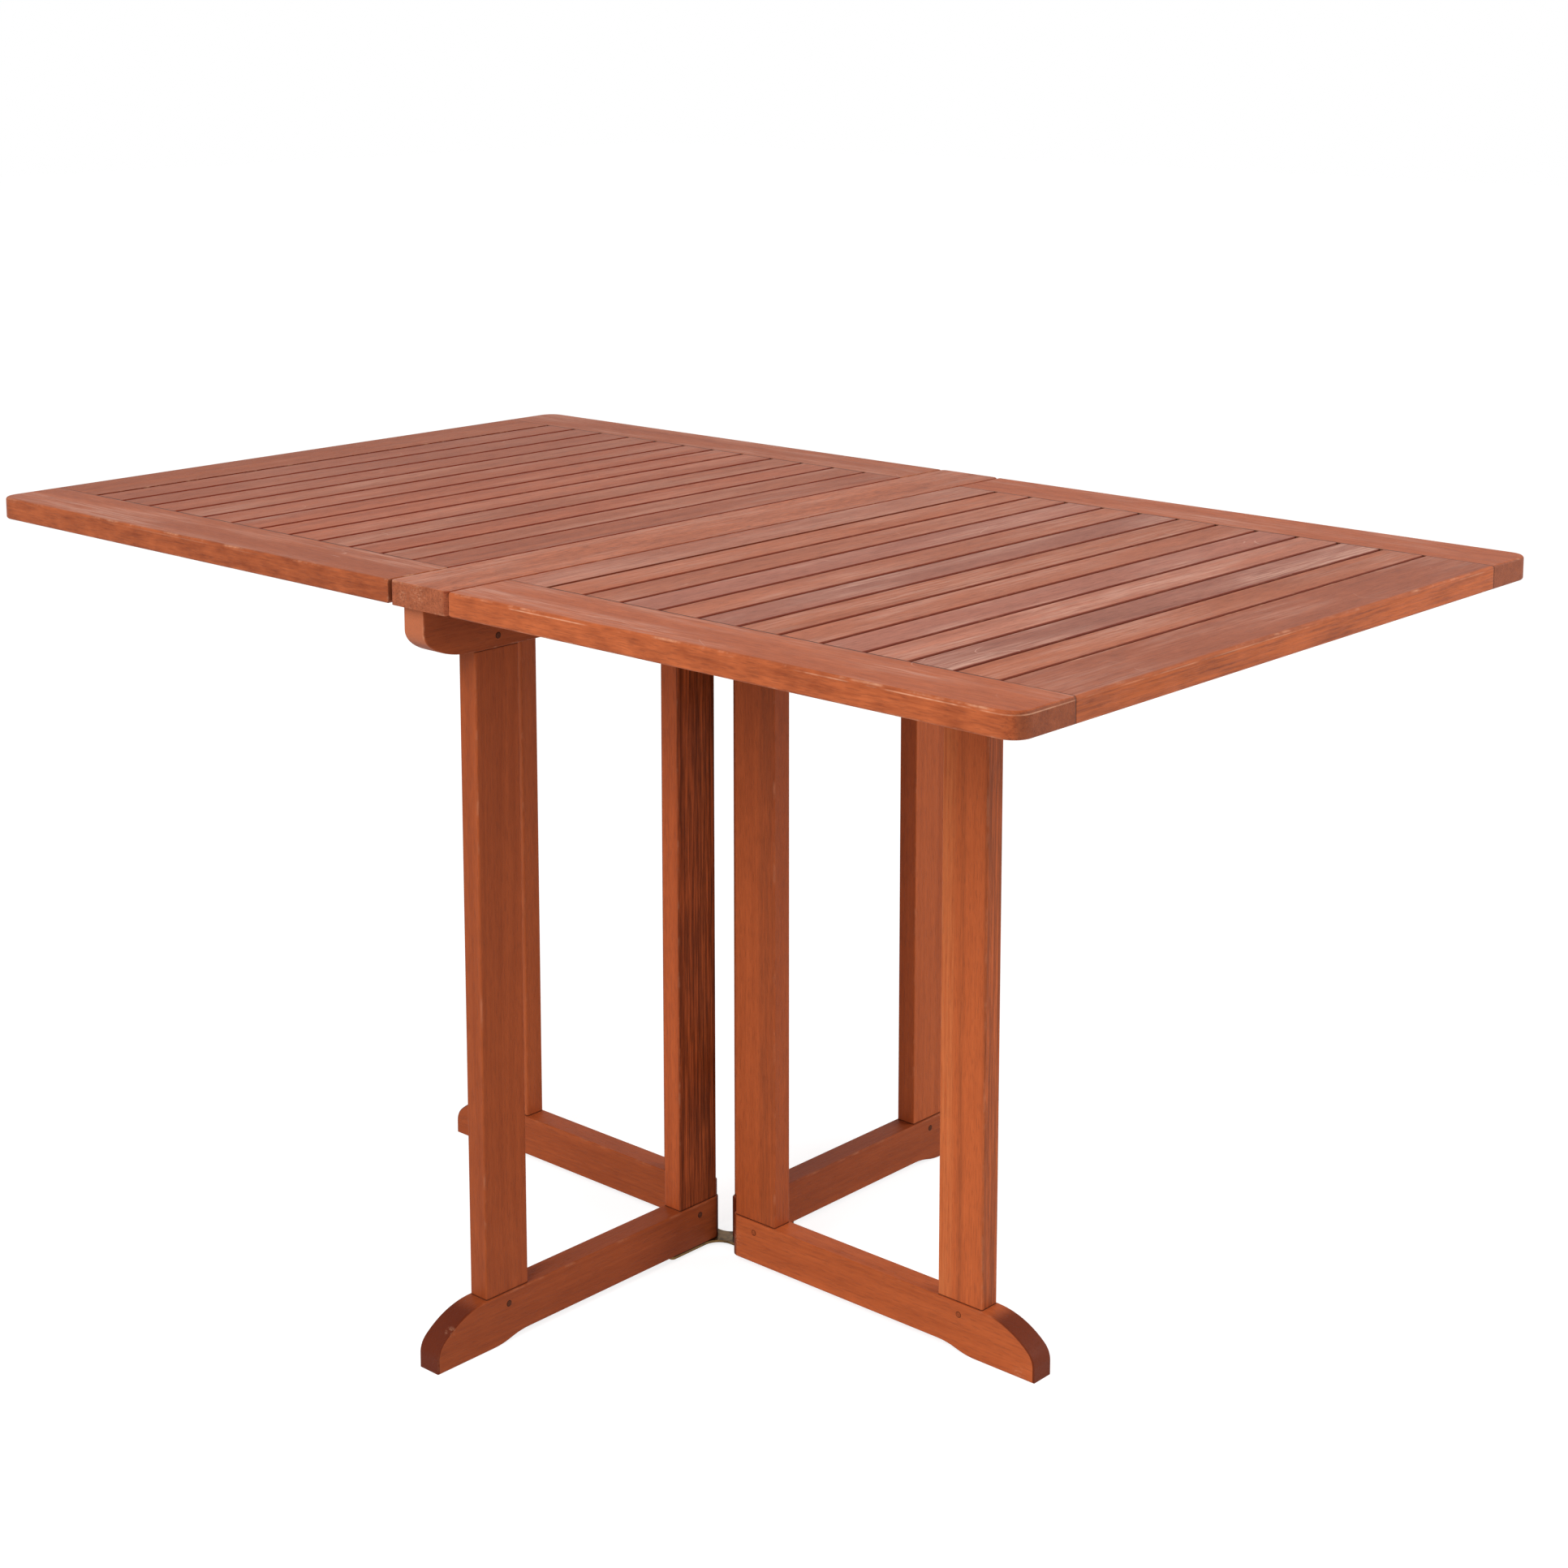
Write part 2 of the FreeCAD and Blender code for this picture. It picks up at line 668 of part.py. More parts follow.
def frame_screw_places():
    """Head places of the rear stand's long screws."""
    head = UNDERSIDE + FRAME_SCREW_INTO_BOARD - FRAME_SCREW_LENGTH
    return [vector(FIXED_STAND_OFFSET, PIVOT_CLEARANCE + place, head) for place in FRAME_SCREW_PLACES]


def rear_frame_screws():
    screws = []
    for origin in frame_screw_places():
        part = frame_screw()
        part.translate(origin)
        screws.append(part)
    return screws


def cut_frame_screws(rail):
    """Rear top rail with the shank holes and the counterbores from below."""
    for origin in frame_screw_places():
        hole = frame_screw(SCREW_CLEARANCE)
        hole.translate(origin)
        depth = origin.z - (UNDERSIDE - TOP_RAIL_HEIGHT) + OVERRUN
        bore = Part.makeCylinder(COUNTERBORE_RADIUS, depth, vector(origin.x, origin.y, origin.z - depth))
        rail = rail.cut(hole).cut(bore)
    return rail


def plate_screw_places():
    """Head places of the tie plate's screws in the rear foot."""
    return [vector(FIXED_STAND_OFFSET, place, PLATE_BOTTOM) for place in PLATE_SCREW_PLACES]


def plate_screw(origin, clearance=0.0):
    return placed(hinge_screw(clearance), origin, X, -Y)


def tie_plate():
    """Plate that joins the fixed feet: an arm under each foot and a neck between, with hollow corners."""
    low_x = FIXED_STAND_OFFSET - RAIL_HALF
    high_x = FIXED_STAND_OFFSET + RAIL_HALF
    half_neck = PLATE_NECK / 2
    corners = [
        (high_x, PLATE_REACH),
        (low_x, PLATE_REACH),
        (low_x, half_neck),
        (-high_x, half_neck),
        (-high_x, -PLATE_REACH),
        (-low_x, -PLATE_REACH),
        (-low_x, -half_neck),
        (high_x, -half_neck),
    ]
    wire = Part.makePolygon([vector(x, y, PLATE_BOTTOM) for x, y in corners + corners[:1]])
    plate = Part.Face(wire).extrude(Z * PLATE_THICKNESS)

    def is_upright(middle):
        return near(middle.z, PLATE_BOTTOM + PLATE_THICKNESS / 2)

    def is_hollow(middle):
        return is_upright(middle) and near(abs(middle.x), low_x) and near(abs(middle.y), half_neck)

    def is_outer(middle):
        at_corner = any(near(middle.x, x) and near(middle.y, y) for x, y in corners)
        return is_upright(middle) and at_corner

    plate = plate.makeFillet(PLATE_FILLET, edges_where(plate, is_hollow))
    plate = plate.makeFillet(PLATE_CORNER, edges_where(plate, is_outer))
    for origin in plate_screw_places():
        hole = plate_screw(origin, SCREW_CLEARANCE)
        plate = plate.cut(hole).cut(turned_half(hole))
    return plate


# The four stands in their places


def as_rear_stand(shape):
    """Stand along +Y, beside the centre plane."""
    return placed(shape, vector(FIXED_STAND_OFFSET, PIVOT_CLEARANCE, 0), Y, -X)


def as_right_gate(shape):
    """Gate along +X, opened a quarter turn from its place in line with the rear stand."""
    return placed(shape, vector(GATE_AXIS_X + PIVOT_CLEARANCE, -GATE_OFFSET, 0), X, Y)


def rear_stand(seats):
    pieces = {
        "foot": as_rear_stand(foot(FOOT_RAISE)),
        "top_rail": cut_frame_screws(as_rear_stand(top_rail(UNDERSIDE))),
        "inner_post": as_rear_stand(post(INNER_POST_CENTRE)),
        "outer_post": as_rear_stand(post(OUTER_POST_CENTRE)),
    }
    for origin in plate_screw_places():
        pieces["foot"] = pieces["foot"].cut(plate_screw(origin, SCREW_CLEARANCE))
    for seat in seats:
        pieces["inner_post"] = seat.cut_from(pieces["inner_post"])
    return pieces


def right_gate(seats):
    pieces = {
        "foot": as_right_gate(foot(FOOT_RAISE + GATE_FOOT_CLEARANCE)),
        "top_rail": as_right_gate(top_rail(UNDERSIDE - GATE_TOP_CLEARANCE)),
        "inner_post": as_right_gate(post(INNER_POST_CENTRE)),
        "outer_post": as_right_gate(post(OUTER_POST_CENTRE)),
    }
    for seat in seats:
        pieces["inner_post"] = seat.cut_from(pieces["inner_post"])
    return pieces


def hardware(seats):
    """The moving flaps of one leaf or gate, with their screws."""
    solids = []
    for seat in seats:
        solids.append(seat.flap(True))
        solids.extend(seat.screws())
    return solids


def both(solids):
    """Solids and their copies on the other half of the table."""
    one_half = list(solids)
    return one_half + [turned_half(one) for one in one_half]


def build():
    leaf_seats, board_seats = right_leaf_seats()
    gate_seats, post_seats = right_gate_seats()
    fixed_seats = board_seats + post_seats
    nodes = {"centre_board": [centre_board(board_seats)]}
    for name, shape in right_leaf(leaf_seats).items():
        nodes[f"right_leaf_{name}"] = [shape]
        nodes[f"left_leaf_{name}"] = [turned_half(shape)]
    swap_left_rails(nodes)
    for name, shape in rear_stand(post_seats).items():
        nodes[f"rear_stand_{name}"] = [shape]
        nodes[f"front_stand_{name}"] = [turned_half(shape)]
    for name, shape in right_gate(gate_seats).items():
        nodes[f"right_gate_{name}"] = [shape]
        nodes[f"left_gate_{name}"] = [turned_half(shape)]
    gate_pegs = [as_right_gate(one) for one in stand_pegs()]
    nodes["right_gate_pegs"] = gate_pegs
    nodes["left_gate_pegs"] = [turned_half(one) for one in gate_pegs]
    nodes["fixed_stand_pegs"] = both(as_rear_stand(one) for one in stand_pegs())
    nodes["right_leaf_hinge_hardware"] = hardware(leaf_seats)
    nodes["left_leaf_hinge_hardware"] = [turned_half(one) for one in hardware(leaf_seats)]
    nodes["right_gate_hinge_hardware"] = hardware(gate_seats)
    nodes["left_gate_hinge_hardware"] = [turned_half(one) for one in hardware(gate_seats)]
    nodes["fixed_hinge_flaps"] = both(seat.flap(False) for seat in fixed_seats)
    nodes["fixed_hinge_screws"] = both(one for seat in fixed_seats for one in seat.screws())
    nodes["hinge_pins"] = both(seat.put(hinge_pin()) for seat in fixed_seats)
    nodes["frame_screws"] = both(rear_frame_screws())
    nodes["tie_plate"] = [tie_plate()]
    nodes["tie_plate_screws"] = both(plate_screw(origin) for origin in plate_screw_places())
    return nodes


def swap_left_rails(nodes):
    """The half turn brings the right leaf's back rail to the left leaf's front, so the names swap."""
    front, back = "left_leaf_front_rail", "left_leaf_back_rail"
    nodes[front], nodes[back] = nodes[back], nodes[front]


def write(nodes):
    os.makedirs("parts", exist_ok=True)
    for name, solids in nodes.items():
        shape = solids[0] if len(solids) == 1 else Part.makeCompound(solids)
        if not shape.isValid():
            raise ValueError(f"{name} is not a valid shape")
        shape.exportStep(f"parts/{name}.step")
    count = sum(len(shape.Solids) for solids in nodes.values() for shape in solids)
    print(len(nodes), "nodes,", count, "solids")


write(build())
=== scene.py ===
"""Folding garden table in oiled reddish hardwood: its finishes, fittings, light and camera."""

import logging
import math
from dataclasses import dataclass, field
from enum import Enum

import bmesh
import bpy
from mathutils import Euler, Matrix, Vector

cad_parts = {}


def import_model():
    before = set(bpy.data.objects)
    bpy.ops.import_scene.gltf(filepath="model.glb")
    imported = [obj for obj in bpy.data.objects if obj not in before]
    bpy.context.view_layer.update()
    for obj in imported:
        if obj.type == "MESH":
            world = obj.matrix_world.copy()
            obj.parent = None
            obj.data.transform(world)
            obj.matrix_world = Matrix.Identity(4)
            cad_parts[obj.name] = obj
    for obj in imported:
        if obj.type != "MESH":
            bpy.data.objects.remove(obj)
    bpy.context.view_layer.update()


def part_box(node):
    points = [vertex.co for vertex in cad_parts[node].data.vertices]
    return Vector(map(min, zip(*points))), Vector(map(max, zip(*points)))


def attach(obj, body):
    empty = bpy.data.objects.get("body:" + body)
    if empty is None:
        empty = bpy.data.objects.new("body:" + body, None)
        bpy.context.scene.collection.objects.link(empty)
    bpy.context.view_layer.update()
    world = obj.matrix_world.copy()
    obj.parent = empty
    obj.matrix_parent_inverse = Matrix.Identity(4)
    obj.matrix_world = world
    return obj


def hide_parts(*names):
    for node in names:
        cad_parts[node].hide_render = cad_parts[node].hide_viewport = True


log = logging.getLogger("garden_table")

MM = 0.001
FAR_AWAY = 9.0
MIDDLE = 0.5
TWICE = 2.0
LEVEL_DEGREES = 90.0
ORIGIN = (0.0, 0.0, 0.0)
RIGHT = (1.0, 0.0, 0.0)
BACK = (0.0, 1.0, 0.0)
FRONT = (0.0, -1.0, 0.0)
UP = (0.0, 0.0, 1.0)
DOWN = (0.0, 0.0, -1.0)
DEEP_HEART = (0.0, 0.05, 0.09)
WHITE = (1.0, 1.0, 1.0, 1.0)
Colour = tuple[float, float, float, float]
Triple = tuple[float, float, float]
Socket = bpy.types.NodeSocket
Scuffs = tuple[tuple[Triple, float], ...]
Shares = tuple[tuple[str, float], ...]


class Joiner:
    """Adds nodes to one tree and joins them."""

    def __init__(self, tree: bpy.types.NodeTree) -> None:
        """Starts on a tree.

        Args:
            tree: the shader or geometry tree to fill.
        """
        self.tree = tree

    def node(self, kind: str, **settings: object) -> bpy.types.Node:
        """Adds one node.

        Args:
            kind: Blender's name of the node type.
            settings: properties to set on it.

        Returns:
            The new node.
        """
        made = self.tree.nodes.new(kind)
        for name, value in settings.items():
            setattr(made, name, value)
        return made

    def feed(self, socket: Socket, value: object) -> None:
        """Links a socket to another, or sets it to a plain value.

        Args:
            socket: the input.
            value: a socket, a plain value, or None to leave the input as it is.
        """
        if isinstance(value, Socket):
            self.tree.links.new(value, socket)
        elif value is not None:
            socket.default_value = value

    def fill(self, node: bpy.types.Node, **values: object) -> bpy.types.Node:
        """Feeds a node's inputs by name.

        Args:
            node: the node.
            values: numbers or sockets by input name, with underscores for spaces.

        Returns:
            The same node.
        """
        for label, value in values.items():
            self.feed(node.inputs[label.replace("_", " ").title()], value)
        return node

    def filled(self, kind: str, **values: object) -> bpy.types.Node:
        """Adds a node and feeds its inputs by name."""
        return self.fill(self.node(kind), **values)

    def apply(self, kind: str, *values: object, **settings: object) -> bpy.types.Node:
        """Adds a node and feeds its inputs in their order.

        Args:
            kind: Blender's name of the node type.
            values: numbers or sockets.
            settings: properties to set on it.

        Returns:
            The new node.
        """
        made = self.node(kind, **settings)
        for socket, value in zip(made.inputs, values):
            self.feed(socket, value)
        return made

    def calc(self, operation: str, *values: object, clamp: bool = False) -> Socket:
        """A math node's result, kept between 0 and 1 if it is clamped."""
        return self.apply("ShaderNodeMath", *values, operation=operation, use_clamp=clamp).outputs[0]

    def times(self, value: object, other: object) -> Socket:
        """The product of two numbers."""
        return self.calc("MULTIPLY", value, other)

    def less(self, value: object, other: object) -> Socket:
        """The first number less the second."""
        return self.calc("SUBTRACT", value, other)

    def apart(self, value: object, other: object) -> Socket:
        """How far two numbers lie apart."""
        return self.calc("ABSOLUTE", self.less(value, other))

    def total(self, *values: object) -> Socket:
        """Adds numbers up.

        Args:
            values: two or more numbers or sockets.

        Returns:
            The sum's socket.
        """
        first, *rest = values
        for value in rest:
            first = self.calc("ADD", first, value)
        return first

    def swing(self, value: Socket, weight: float) -> Socket:
        """A noise's swing round its middle, times a weight."""
        return self.calc("MULTIPLY_ADD", value, weight, -MIDDLE * weight)

    def vector(self, operation: str, *values: object) -> Socket:
        """A vector math node's vector, or its number for a length."""
        made = self.apply("ShaderNodeVectorMath", *values, operation=operation)
        return made.outputs["Value" if operation == "LENGTH" else "Vector"]

    def split(self, vector: Socket) -> tuple[Socket, ...]:
        """Splits a vector into its three numbers."""
        return tuple(self.apply("ShaderNodeSeparateXYZ", vector).outputs)

    def triple(self, x: object, y: object, z: object) -> Socket:
        """Joins three numbers to a vector."""
        return self.apply("ShaderNodeCombineXYZ", x, y, z).outputs[0]

    def bump(self, strength: float, depth: float, height: Socket) -> Socket:
        """The normal of a surface with a relief of some depth, in metres."""
        return self.filled("ShaderNodeBump", strength=strength, distance=depth, height=height).outputs[0]

    def span(
        self, value: object, low: object, high: object, to_low: float = 0.0, to_high: float = 1.0
    ) -> Socket:
        """Carries a number smoothly from one span to another, and holds it at the ends.

        Args:
            value: the number or socket to carry.
            low: where the first span starts.
            high: where the first span ends.
            to_low: result at low.
            to_high: result at high.

        Returns:
            The result's socket.
        """
        made = self.node("ShaderNodeMapRange", interpolation_type="SMOOTHSTEP")
        self.fill(made, value=value, from_min=low, from_max=high, to_min=to_low, to_max=to_high)
        return made.outputs[0]

    def blend(self, share: object, first: object, second: object) -> Socket:
        """Blends two colours.

        Args:
            share: how much of the second, 0 to 1.
            first: colour or socket.
            second: colour or socket.

        Returns:
            The blended colour's socket.
        """
        made = self.node("ShaderNodeMix", data_type="RGBA")
        self.feed(made.inputs["Factor"], share)
        colours = [socket for socket in made.inputs if socket.type == "RGBA"]
        self.feed(colours[0], first)
        self.feed(colours[1], second)
        return next(socket for socket in made.outputs if socket.type == "RGBA")

    def noise(
        self, place: object, detail: float, roughness: float = 0.5, dimensions: str = "3D"
    ) -> Socket:
        """Adds a noise of scale 1.

        Args:
            place: vector, or a single number for one dimension.
            detail: number of finer layers.
            roughness: weight of the finer layers.
            dimensions: Blender's name of the noise's dimensions.

        Returns:
            The noise's number socket.
        """
        made = self.node("ShaderNodeTexNoise", noise_dimensions=dimensions)
        self.feed(made.inputs["W" if dimensions == "1D" else "Vector"], place)
        return self.fill(made, scale=1.0, detail=detail, roughness=roughness).outputs["Fac"]


class Effect:
    """A shader group with a place, more named inputs, and outputs. It is built once."""

    SOCKETS = {float: "NodeSocketFloat", tuple: "NodeSocketVector"}
    SEED_SHIFT = (3.71, 1.93, 2.57)

    def __init__(self, name: str, inputs: dict[str, object], outputs: tuple[str, ...]) -> None:
        """Makes the empty group.

        Args:
            name: the group's name.
            inputs: default value of each input after the place, by name.
            outputs: names of the outputs, all single numbers.
        """
        self.tree = bpy.data.node_groups.new(name, "ShaderNodeTree")
        add = self.tree.interface.new_socket
        for label, value in {"Place": ORIGIN, **inputs}.items():
            add(name=label, in_out="INPUT", socket_type=self.SOCKETS[type(value)]).default_value = value
        for label in outputs:
            add(name=label, in_out="OUTPUT", socket_type="NodeSocketFloat")
        self.join = Joiner(self.tree)
        self.inputs = self.join.node("NodeGroupInput").outputs
        self.outputs = self.join.node("NodeGroupOutput").inputs

    def give(self, name: str, *factors: Socket) -> None:
        """Joins a result, or the product of two, to one of the group's outputs."""
        self.join.feed(self.outputs[name], self.join.times(*factors) if factors[1:] else factors[0])

    def stretched(self, scale: Triple) -> Socket:
        """The group's place, stretched along the three ways and moved by its seed.

        Args:
            scale: stretch along the three ways.

        Returns:
            The vector's socket.
        """
        seed = self.inputs["Seed"]
        shift = self.join.vector("MULTIPLY", self.join.triple(seed, seed, seed), self.SEED_SHIFT)
        return self.join.vector("ADD", self.join.vector("MULTIPLY", self.inputs["Place"], scale), shift)

    def place(self, join: Joiner, **values: object) -> bpy.types.bpy_prop_collection:
        """Places the group in a material.

        Args:
            join: the material's joiner.
            values: input values by name, with underscores for spaces.

        Returns:
            The placed group's outputs.
        """
        return join.fill(join.node("ShaderNodeGroup", node_tree=self.tree), **values).outputs


@dataclass(frozen=True)
class Layer:
    """One layer of noise in board space.

    Attributes:
        stretch: cells per metre, along the grain and the two ways across it.
        detail: number of finer layers.
        roughness: weight of the finer layers.
        low: where a mask made of it starts.
        high: where that mask is full.
    """

    stretch: Triple
    detail: float = 2.0
    roughness: float = 0.5
    low: float = 0.0
    high: float = 1.0

    def swirl(self, effect: Effect) -> Socket:
        """The layer as a plain noise in a group."""
        return effect.join.noise(effect.stretched(self.stretch), self.detail, self.roughness)

    def mask(self, effect: Effect) -> Socket:
        """The layer as a mask in a group."""
        return effect.join.span(self.swirl(effect), self.low, self.high)

    def around(self, join: Joiner, place: Socket) -> Socket:
        """The layer as a plain noise in a material."""
        return join.noise(join.vector("MULTIPLY", place, self.stretch), self.detail, self.roughness)


@dataclass(frozen=True)
class WoodEffects:
    """The effects that every board's material shares. Board space has the grain along X, in metres.

    Attributes:
        wander: how the rings wander, across the two ways of the board.
        wander_reach: how far they wander, in metres.
        taper: how little the rings change along the grain.
        ring_detail: number of finer layers in the rings.
        ring_roughness: weight of those layers.
        ring_density: rings per metre.
        swirls: the layers of the figure, by output name.
        pores: the open pores.
        ragged: where an arris is worn through.
        worn_line: where a worn arris has a pale line.
        arris_near: distance from an arris where wear is full, in metres.
        arris_far: distance where it ends.
        line_at: distance of the pale line below the top.
        line_near: half the pale line's full width.
        line_far: half its width with its soft edges.
        seam_near: half a joint line's full width.
        seam_far: half its width with its soft edges.
        patches: where dry patches lie.
        brushed: streaks within them.
        hairs: contours that scratches follow.
        hair_near: half a scratch's full width, in the contour's own units.
        hair_far: half its width with its soft edges.
        short: where scratches break off.
        grit: grain of a rubbed spot.
        streaks: streaks of a band, of other wood and of painted light and shade.
        band_soft: softness of a band's edges, as a share of its board.
    """

    wander: tuple[Layer, Layer] = (Layer((1.7, 8.0, 8.0)), Layer((1.3, 7.0, 11.0)))
    wander_reach: float = 0.03
    taper: float = 0.012
    ring_detail: float = 3.0
    ring_roughness: float = 0.6
    ring_density: float = 150.0
    swirls: tuple[tuple[str, Layer], ...] = (
        ("Ribbon", Layer((1.1, 55.0, 55.0))),
        ("Fibre", Layer((9.0, 430.0, 430.0), 4.0, 0.7)),
        ("Fleck", Layer((44.0, 380.0, 380.0), 2.0, 0.6)),
        ("Curl", Layer((36.0, 80.0, 80.0), 3.0, 0.6)),
        ("Cloud", Layer((3.0, 14.0, 14.0), 3.0, 0.55)),
    )
    pores: Layer = Layer((75.0, 950.0, 950.0), 1.0, 0.5, 0.55, 0.68)
    ragged: Layer = Layer((38.0, 38.0, 38.0), 4.0, 0.65, 0.5, 0.72)
    worn_line: Layer = Layer((7.0, 7.0, 7.0), 5.0, 0.7, 0.46, 0.6)
    arris_near: float = 0.6 * MM
    arris_far: float = 2.4 * MM
    line_at: float = 3.0 * MM
    line_near: float = 0.25 * MM
    line_far: float = 0.8 * MM
    seam_near: float = 0.6 * MM
    seam_far: float = 1.3 * MM
    patches: Layer = Layer((4.5, 26.0, 26.0), 2.0, 0.5, 0.4, 0.68)
    brushed: Layer = Layer((16.0, 330.0, 330.0), 4.0, 0.7, 0.34, 0.7)
    hairs: Layer = Layer((9.0, 16.0, 9.0), 1.0)
    hair_near: float = 0.0008
    hair_far: float = 0.0035
    short: Layer = Layer((30.0, 21.0, 17.0), 1.0, 0.5, 0.58, 0.66)
    grit: Layer = Layer((260.0, 260.0, 520.0), 3.0, 0.7, 0.46, 0.66)
    streaks: Layer = Layer((11.0, 420.0, 420.0), 4.0, 0.7, 0.3, 0.64)
    band_soft: float = 0.06

    def figure(self) -> Effect:
        """Growth rings, ribbon, fibres and pores of a sawn board.

        Returns:
            The group.
        """
        names = tuple(name for name, _ in self.swirls)
        effect = Effect("wood_figure", {"Seed": 0.0, "Heart": DEEP_HEART}, ("Rings", "Pores", *names))
        join = effect.join
        across, through = (join.swing(layer.swirl(effect), self.wander_reach) for layer in self.wander)
        wandered = join.vector("ADD", effect.inputs["Place"], join.triple(0.0, across, through))
        from_heart = join.vector("SUBTRACT", wandered, effect.inputs["Heart"])
        radius = join.vector("LENGTH", join.vector("MULTIPLY", from_heart, (self.taper, 1.0, 1.0)))
        rings_at = join.calc("MULTIPLY_ADD", radius, self.ring_density, effect.inputs["Seed"])
        effect.give("Rings", join.noise(rings_at, self.ring_detail, self.ring_roughness, "1D"))
        for name, layer in self.swirls:
            effect.give(name, layer.swirl(effect))
        effect.give("Pores", self.pores.mask(effect))
        return effect

    def arris(self) -> Effect:
        """Wear along the arrises of a box: ragged spots, and a pale line beside them.

        Returns:
            The group.
        """
        effect = Effect("worn_arris", {"Low": ORIGIN, "High": ORIGIN, "Seed": 0.0}, ("Worn", "Line"))
        join = effect.join
        from_low = join.vector("SUBTRACT", effect.inputs["Place"], effect.inputs["Low"])
        from_high = join.vector("SUBTRACT", effect.inputs["High"], effect.inputs["Place"])
        a, b, c = join.split(join.vector("MINIMUM", from_low, from_high))
        larger = join.calc("MINIMUM", join.calc("MAXIMUM", a, b), c)
        middle = join.calc("MAXIMUM", join.calc("MINIMUM", a, b), larger)
        reach = join.span(middle, self.arris_near, self.arris_far, 1.0, 0.0)
        effect.give("Worn", reach, self.ragged.mask(effect))
        beside = join.apart(join.split(from_high)[2], self.line_at)
        line = join.span(beside, self.line_near, self.line_far, 1.0, 0.0)
        effect.give("Line", line, self.worn_line.mask(effect))
        return effect

    def seam(self) -> Effect:
        """Dark thin line where a board meets the next one.

        Returns:
            The group.
        """
        effect = Effect("joint_line", {"Shoulder": FAR_AWAY, "Side": FAR_AWAY}, ("Line",))
        join = effect.join
        x, y, _ = join.split(effect.inputs["Place"])
        ends = join.apart(join.calc("ABSOLUTE", x), effect.inputs["Shoulder"])
        nearest = join.calc("MINIMUM", ends, join.apart(y, effect.inputs["Side"]))
        effect.give("Line", join.span(nearest, self.seam_near, self.seam_far, 1.0, 0.0))
        return effect

    def bloom(self) -> Effect:
        """Pale dry streaks, where the oil has gone, which also paint a sheen on the top, and fine scratches.

        Returns:
            The group.
        """
        effect = Effect("dry_bloom_and_sheen", {"Seed": 0.0}, ("Streaks", "Scratches"))
        join = effect.join
        effect.give("Streaks", self.patches.mask(effect), self.brushed.mask(effect))
        contour = join.calc("ABSOLUTE", join.swing(self.hairs.swirl(effect), 1.0))
        hair = join.span(contour, self.hair_near, self.hair_far, 1.0, 0.0)
        effect.give("Scratches", hair, self.short.mask(effect))
        return effect

    def scuff(self) -> Effect:
        """A pale rubbed spot round one point.

        Returns:
            The group.
        """
        effect = Effect("rubbed_spot", {"Seed": 0.0, "Centre": ORIGIN, "Reach": 1.0}, ("Rubbed",))
        join = effect.join
        away = join.vector("SUBTRACT", effect.inputs["Place"], effect.inputs["Centre"])
        share = join.calc("DIVIDE", join.vector("LENGTH", away), effect.inputs["Reach"])
        near = join.calc("SUBTRACT", 1.0, share, clamp=True)
        effect.give("Rubbed", near, self.grit.mask(effect))
        return effect

    def band(self) -> Effect:
        """A streaked band along a board, darker or lighter: other wood, and painted light and shade.

        Returns:
            The group.
        """
        labels = ("Seed", "Across", "Start", "End")
        effect = Effect("streaked_band", dict.fromkeys(labels, 0.0), ("Band",))
        join = effect.join
        across = effect.inputs["Across"]
        from_start = join.less(across, effect.inputs["Start"])
        to_end = join.less(effect.inputs["End"], across)
        past, short = (join.span(reach, -self.band_soft, self.band_soft) for reach in (from_start, to_end))
        effect.give("Band", join.times(past, short), self.streaks.mask(effect))
        return effect


@dataclass
class WoodGroups:
    """The built shader groups.

    Attributes:
        effects: sizes of the effects.
    """

    effects: WoodEffects = field(default_factory=WoodEffects)

    def __post_init__(self) -> None:
        """Builds each group once."""
        self.figure = self.effects.figure()
        self.arris = self.effects.arris()
        self.seam = self.effects.seam()
        self.bloom = self.effects.bloom()
        self.scuff = self.effects.scuff()
        self.band = self.effects.band()


class Grain(Enum):
    """Way the grain runs. The value turns object space so that the grain lies along X."""

    ALONG_X = (0.0, 0.0, 0.0)
    ALONG_Y = (0.0, 0.0, -math.pi / 2)
    ALONG_Z = (0.0, math.pi / 2, 0.0)


@dataclass(frozen=True)
class WoodTone:
    """Colours of one kind of board.

    Attributes:
        dark: colour of late wood.
        light: colour of early wood.
    """

    dark: Colour
    light: Colour

    def shaded(self, share: float) -> tuple[Colour, Colour]:
        """Both colours, made darker or lighter by a share."""
        return tuple((*(part * share for part in colour[:3]), 1.0) for colour in (self.dark, self.light))


class Tone(Enum):
    """Board colours that the table's timber falls into."""

    WARM = WoodTone((0.25, 0.06, 0.022, 1.0), (0.52, 0.145, 0.06, 1.0))
    PLAIN = WoodTone((0.24, 0.061, 0.026, 1.0), (0.48, 0.143, 0.066, 1.0))
    ROSY = WoodTone((0.24, 0.068, 0.034, 1.0), (0.48, 0.155, 0.084, 1.0))
    GREY = WoodTone((0.21, 0.062, 0.036, 1.0), (0.4, 0.135, 0.082, 1.0))
    RUDDY = WoodTone((0.24, 0.053, 0.02, 1.0), (0.5, 0.132, 0.054, 1.0))
    RAIL = WoodTone((0.26, 0.053, 0.016, 1.0), (0.53, 0.13, 0.041, 1.0))
    EDGE = WoodTone((0.24, 0.047, 0.012, 1.0), (0.48, 0.112, 0.031, 1.0))
    DEEP = WoodTone((0.2, 0.036, 0.009, 1.0), (0.42, 0.092, 0.024, 1.0))


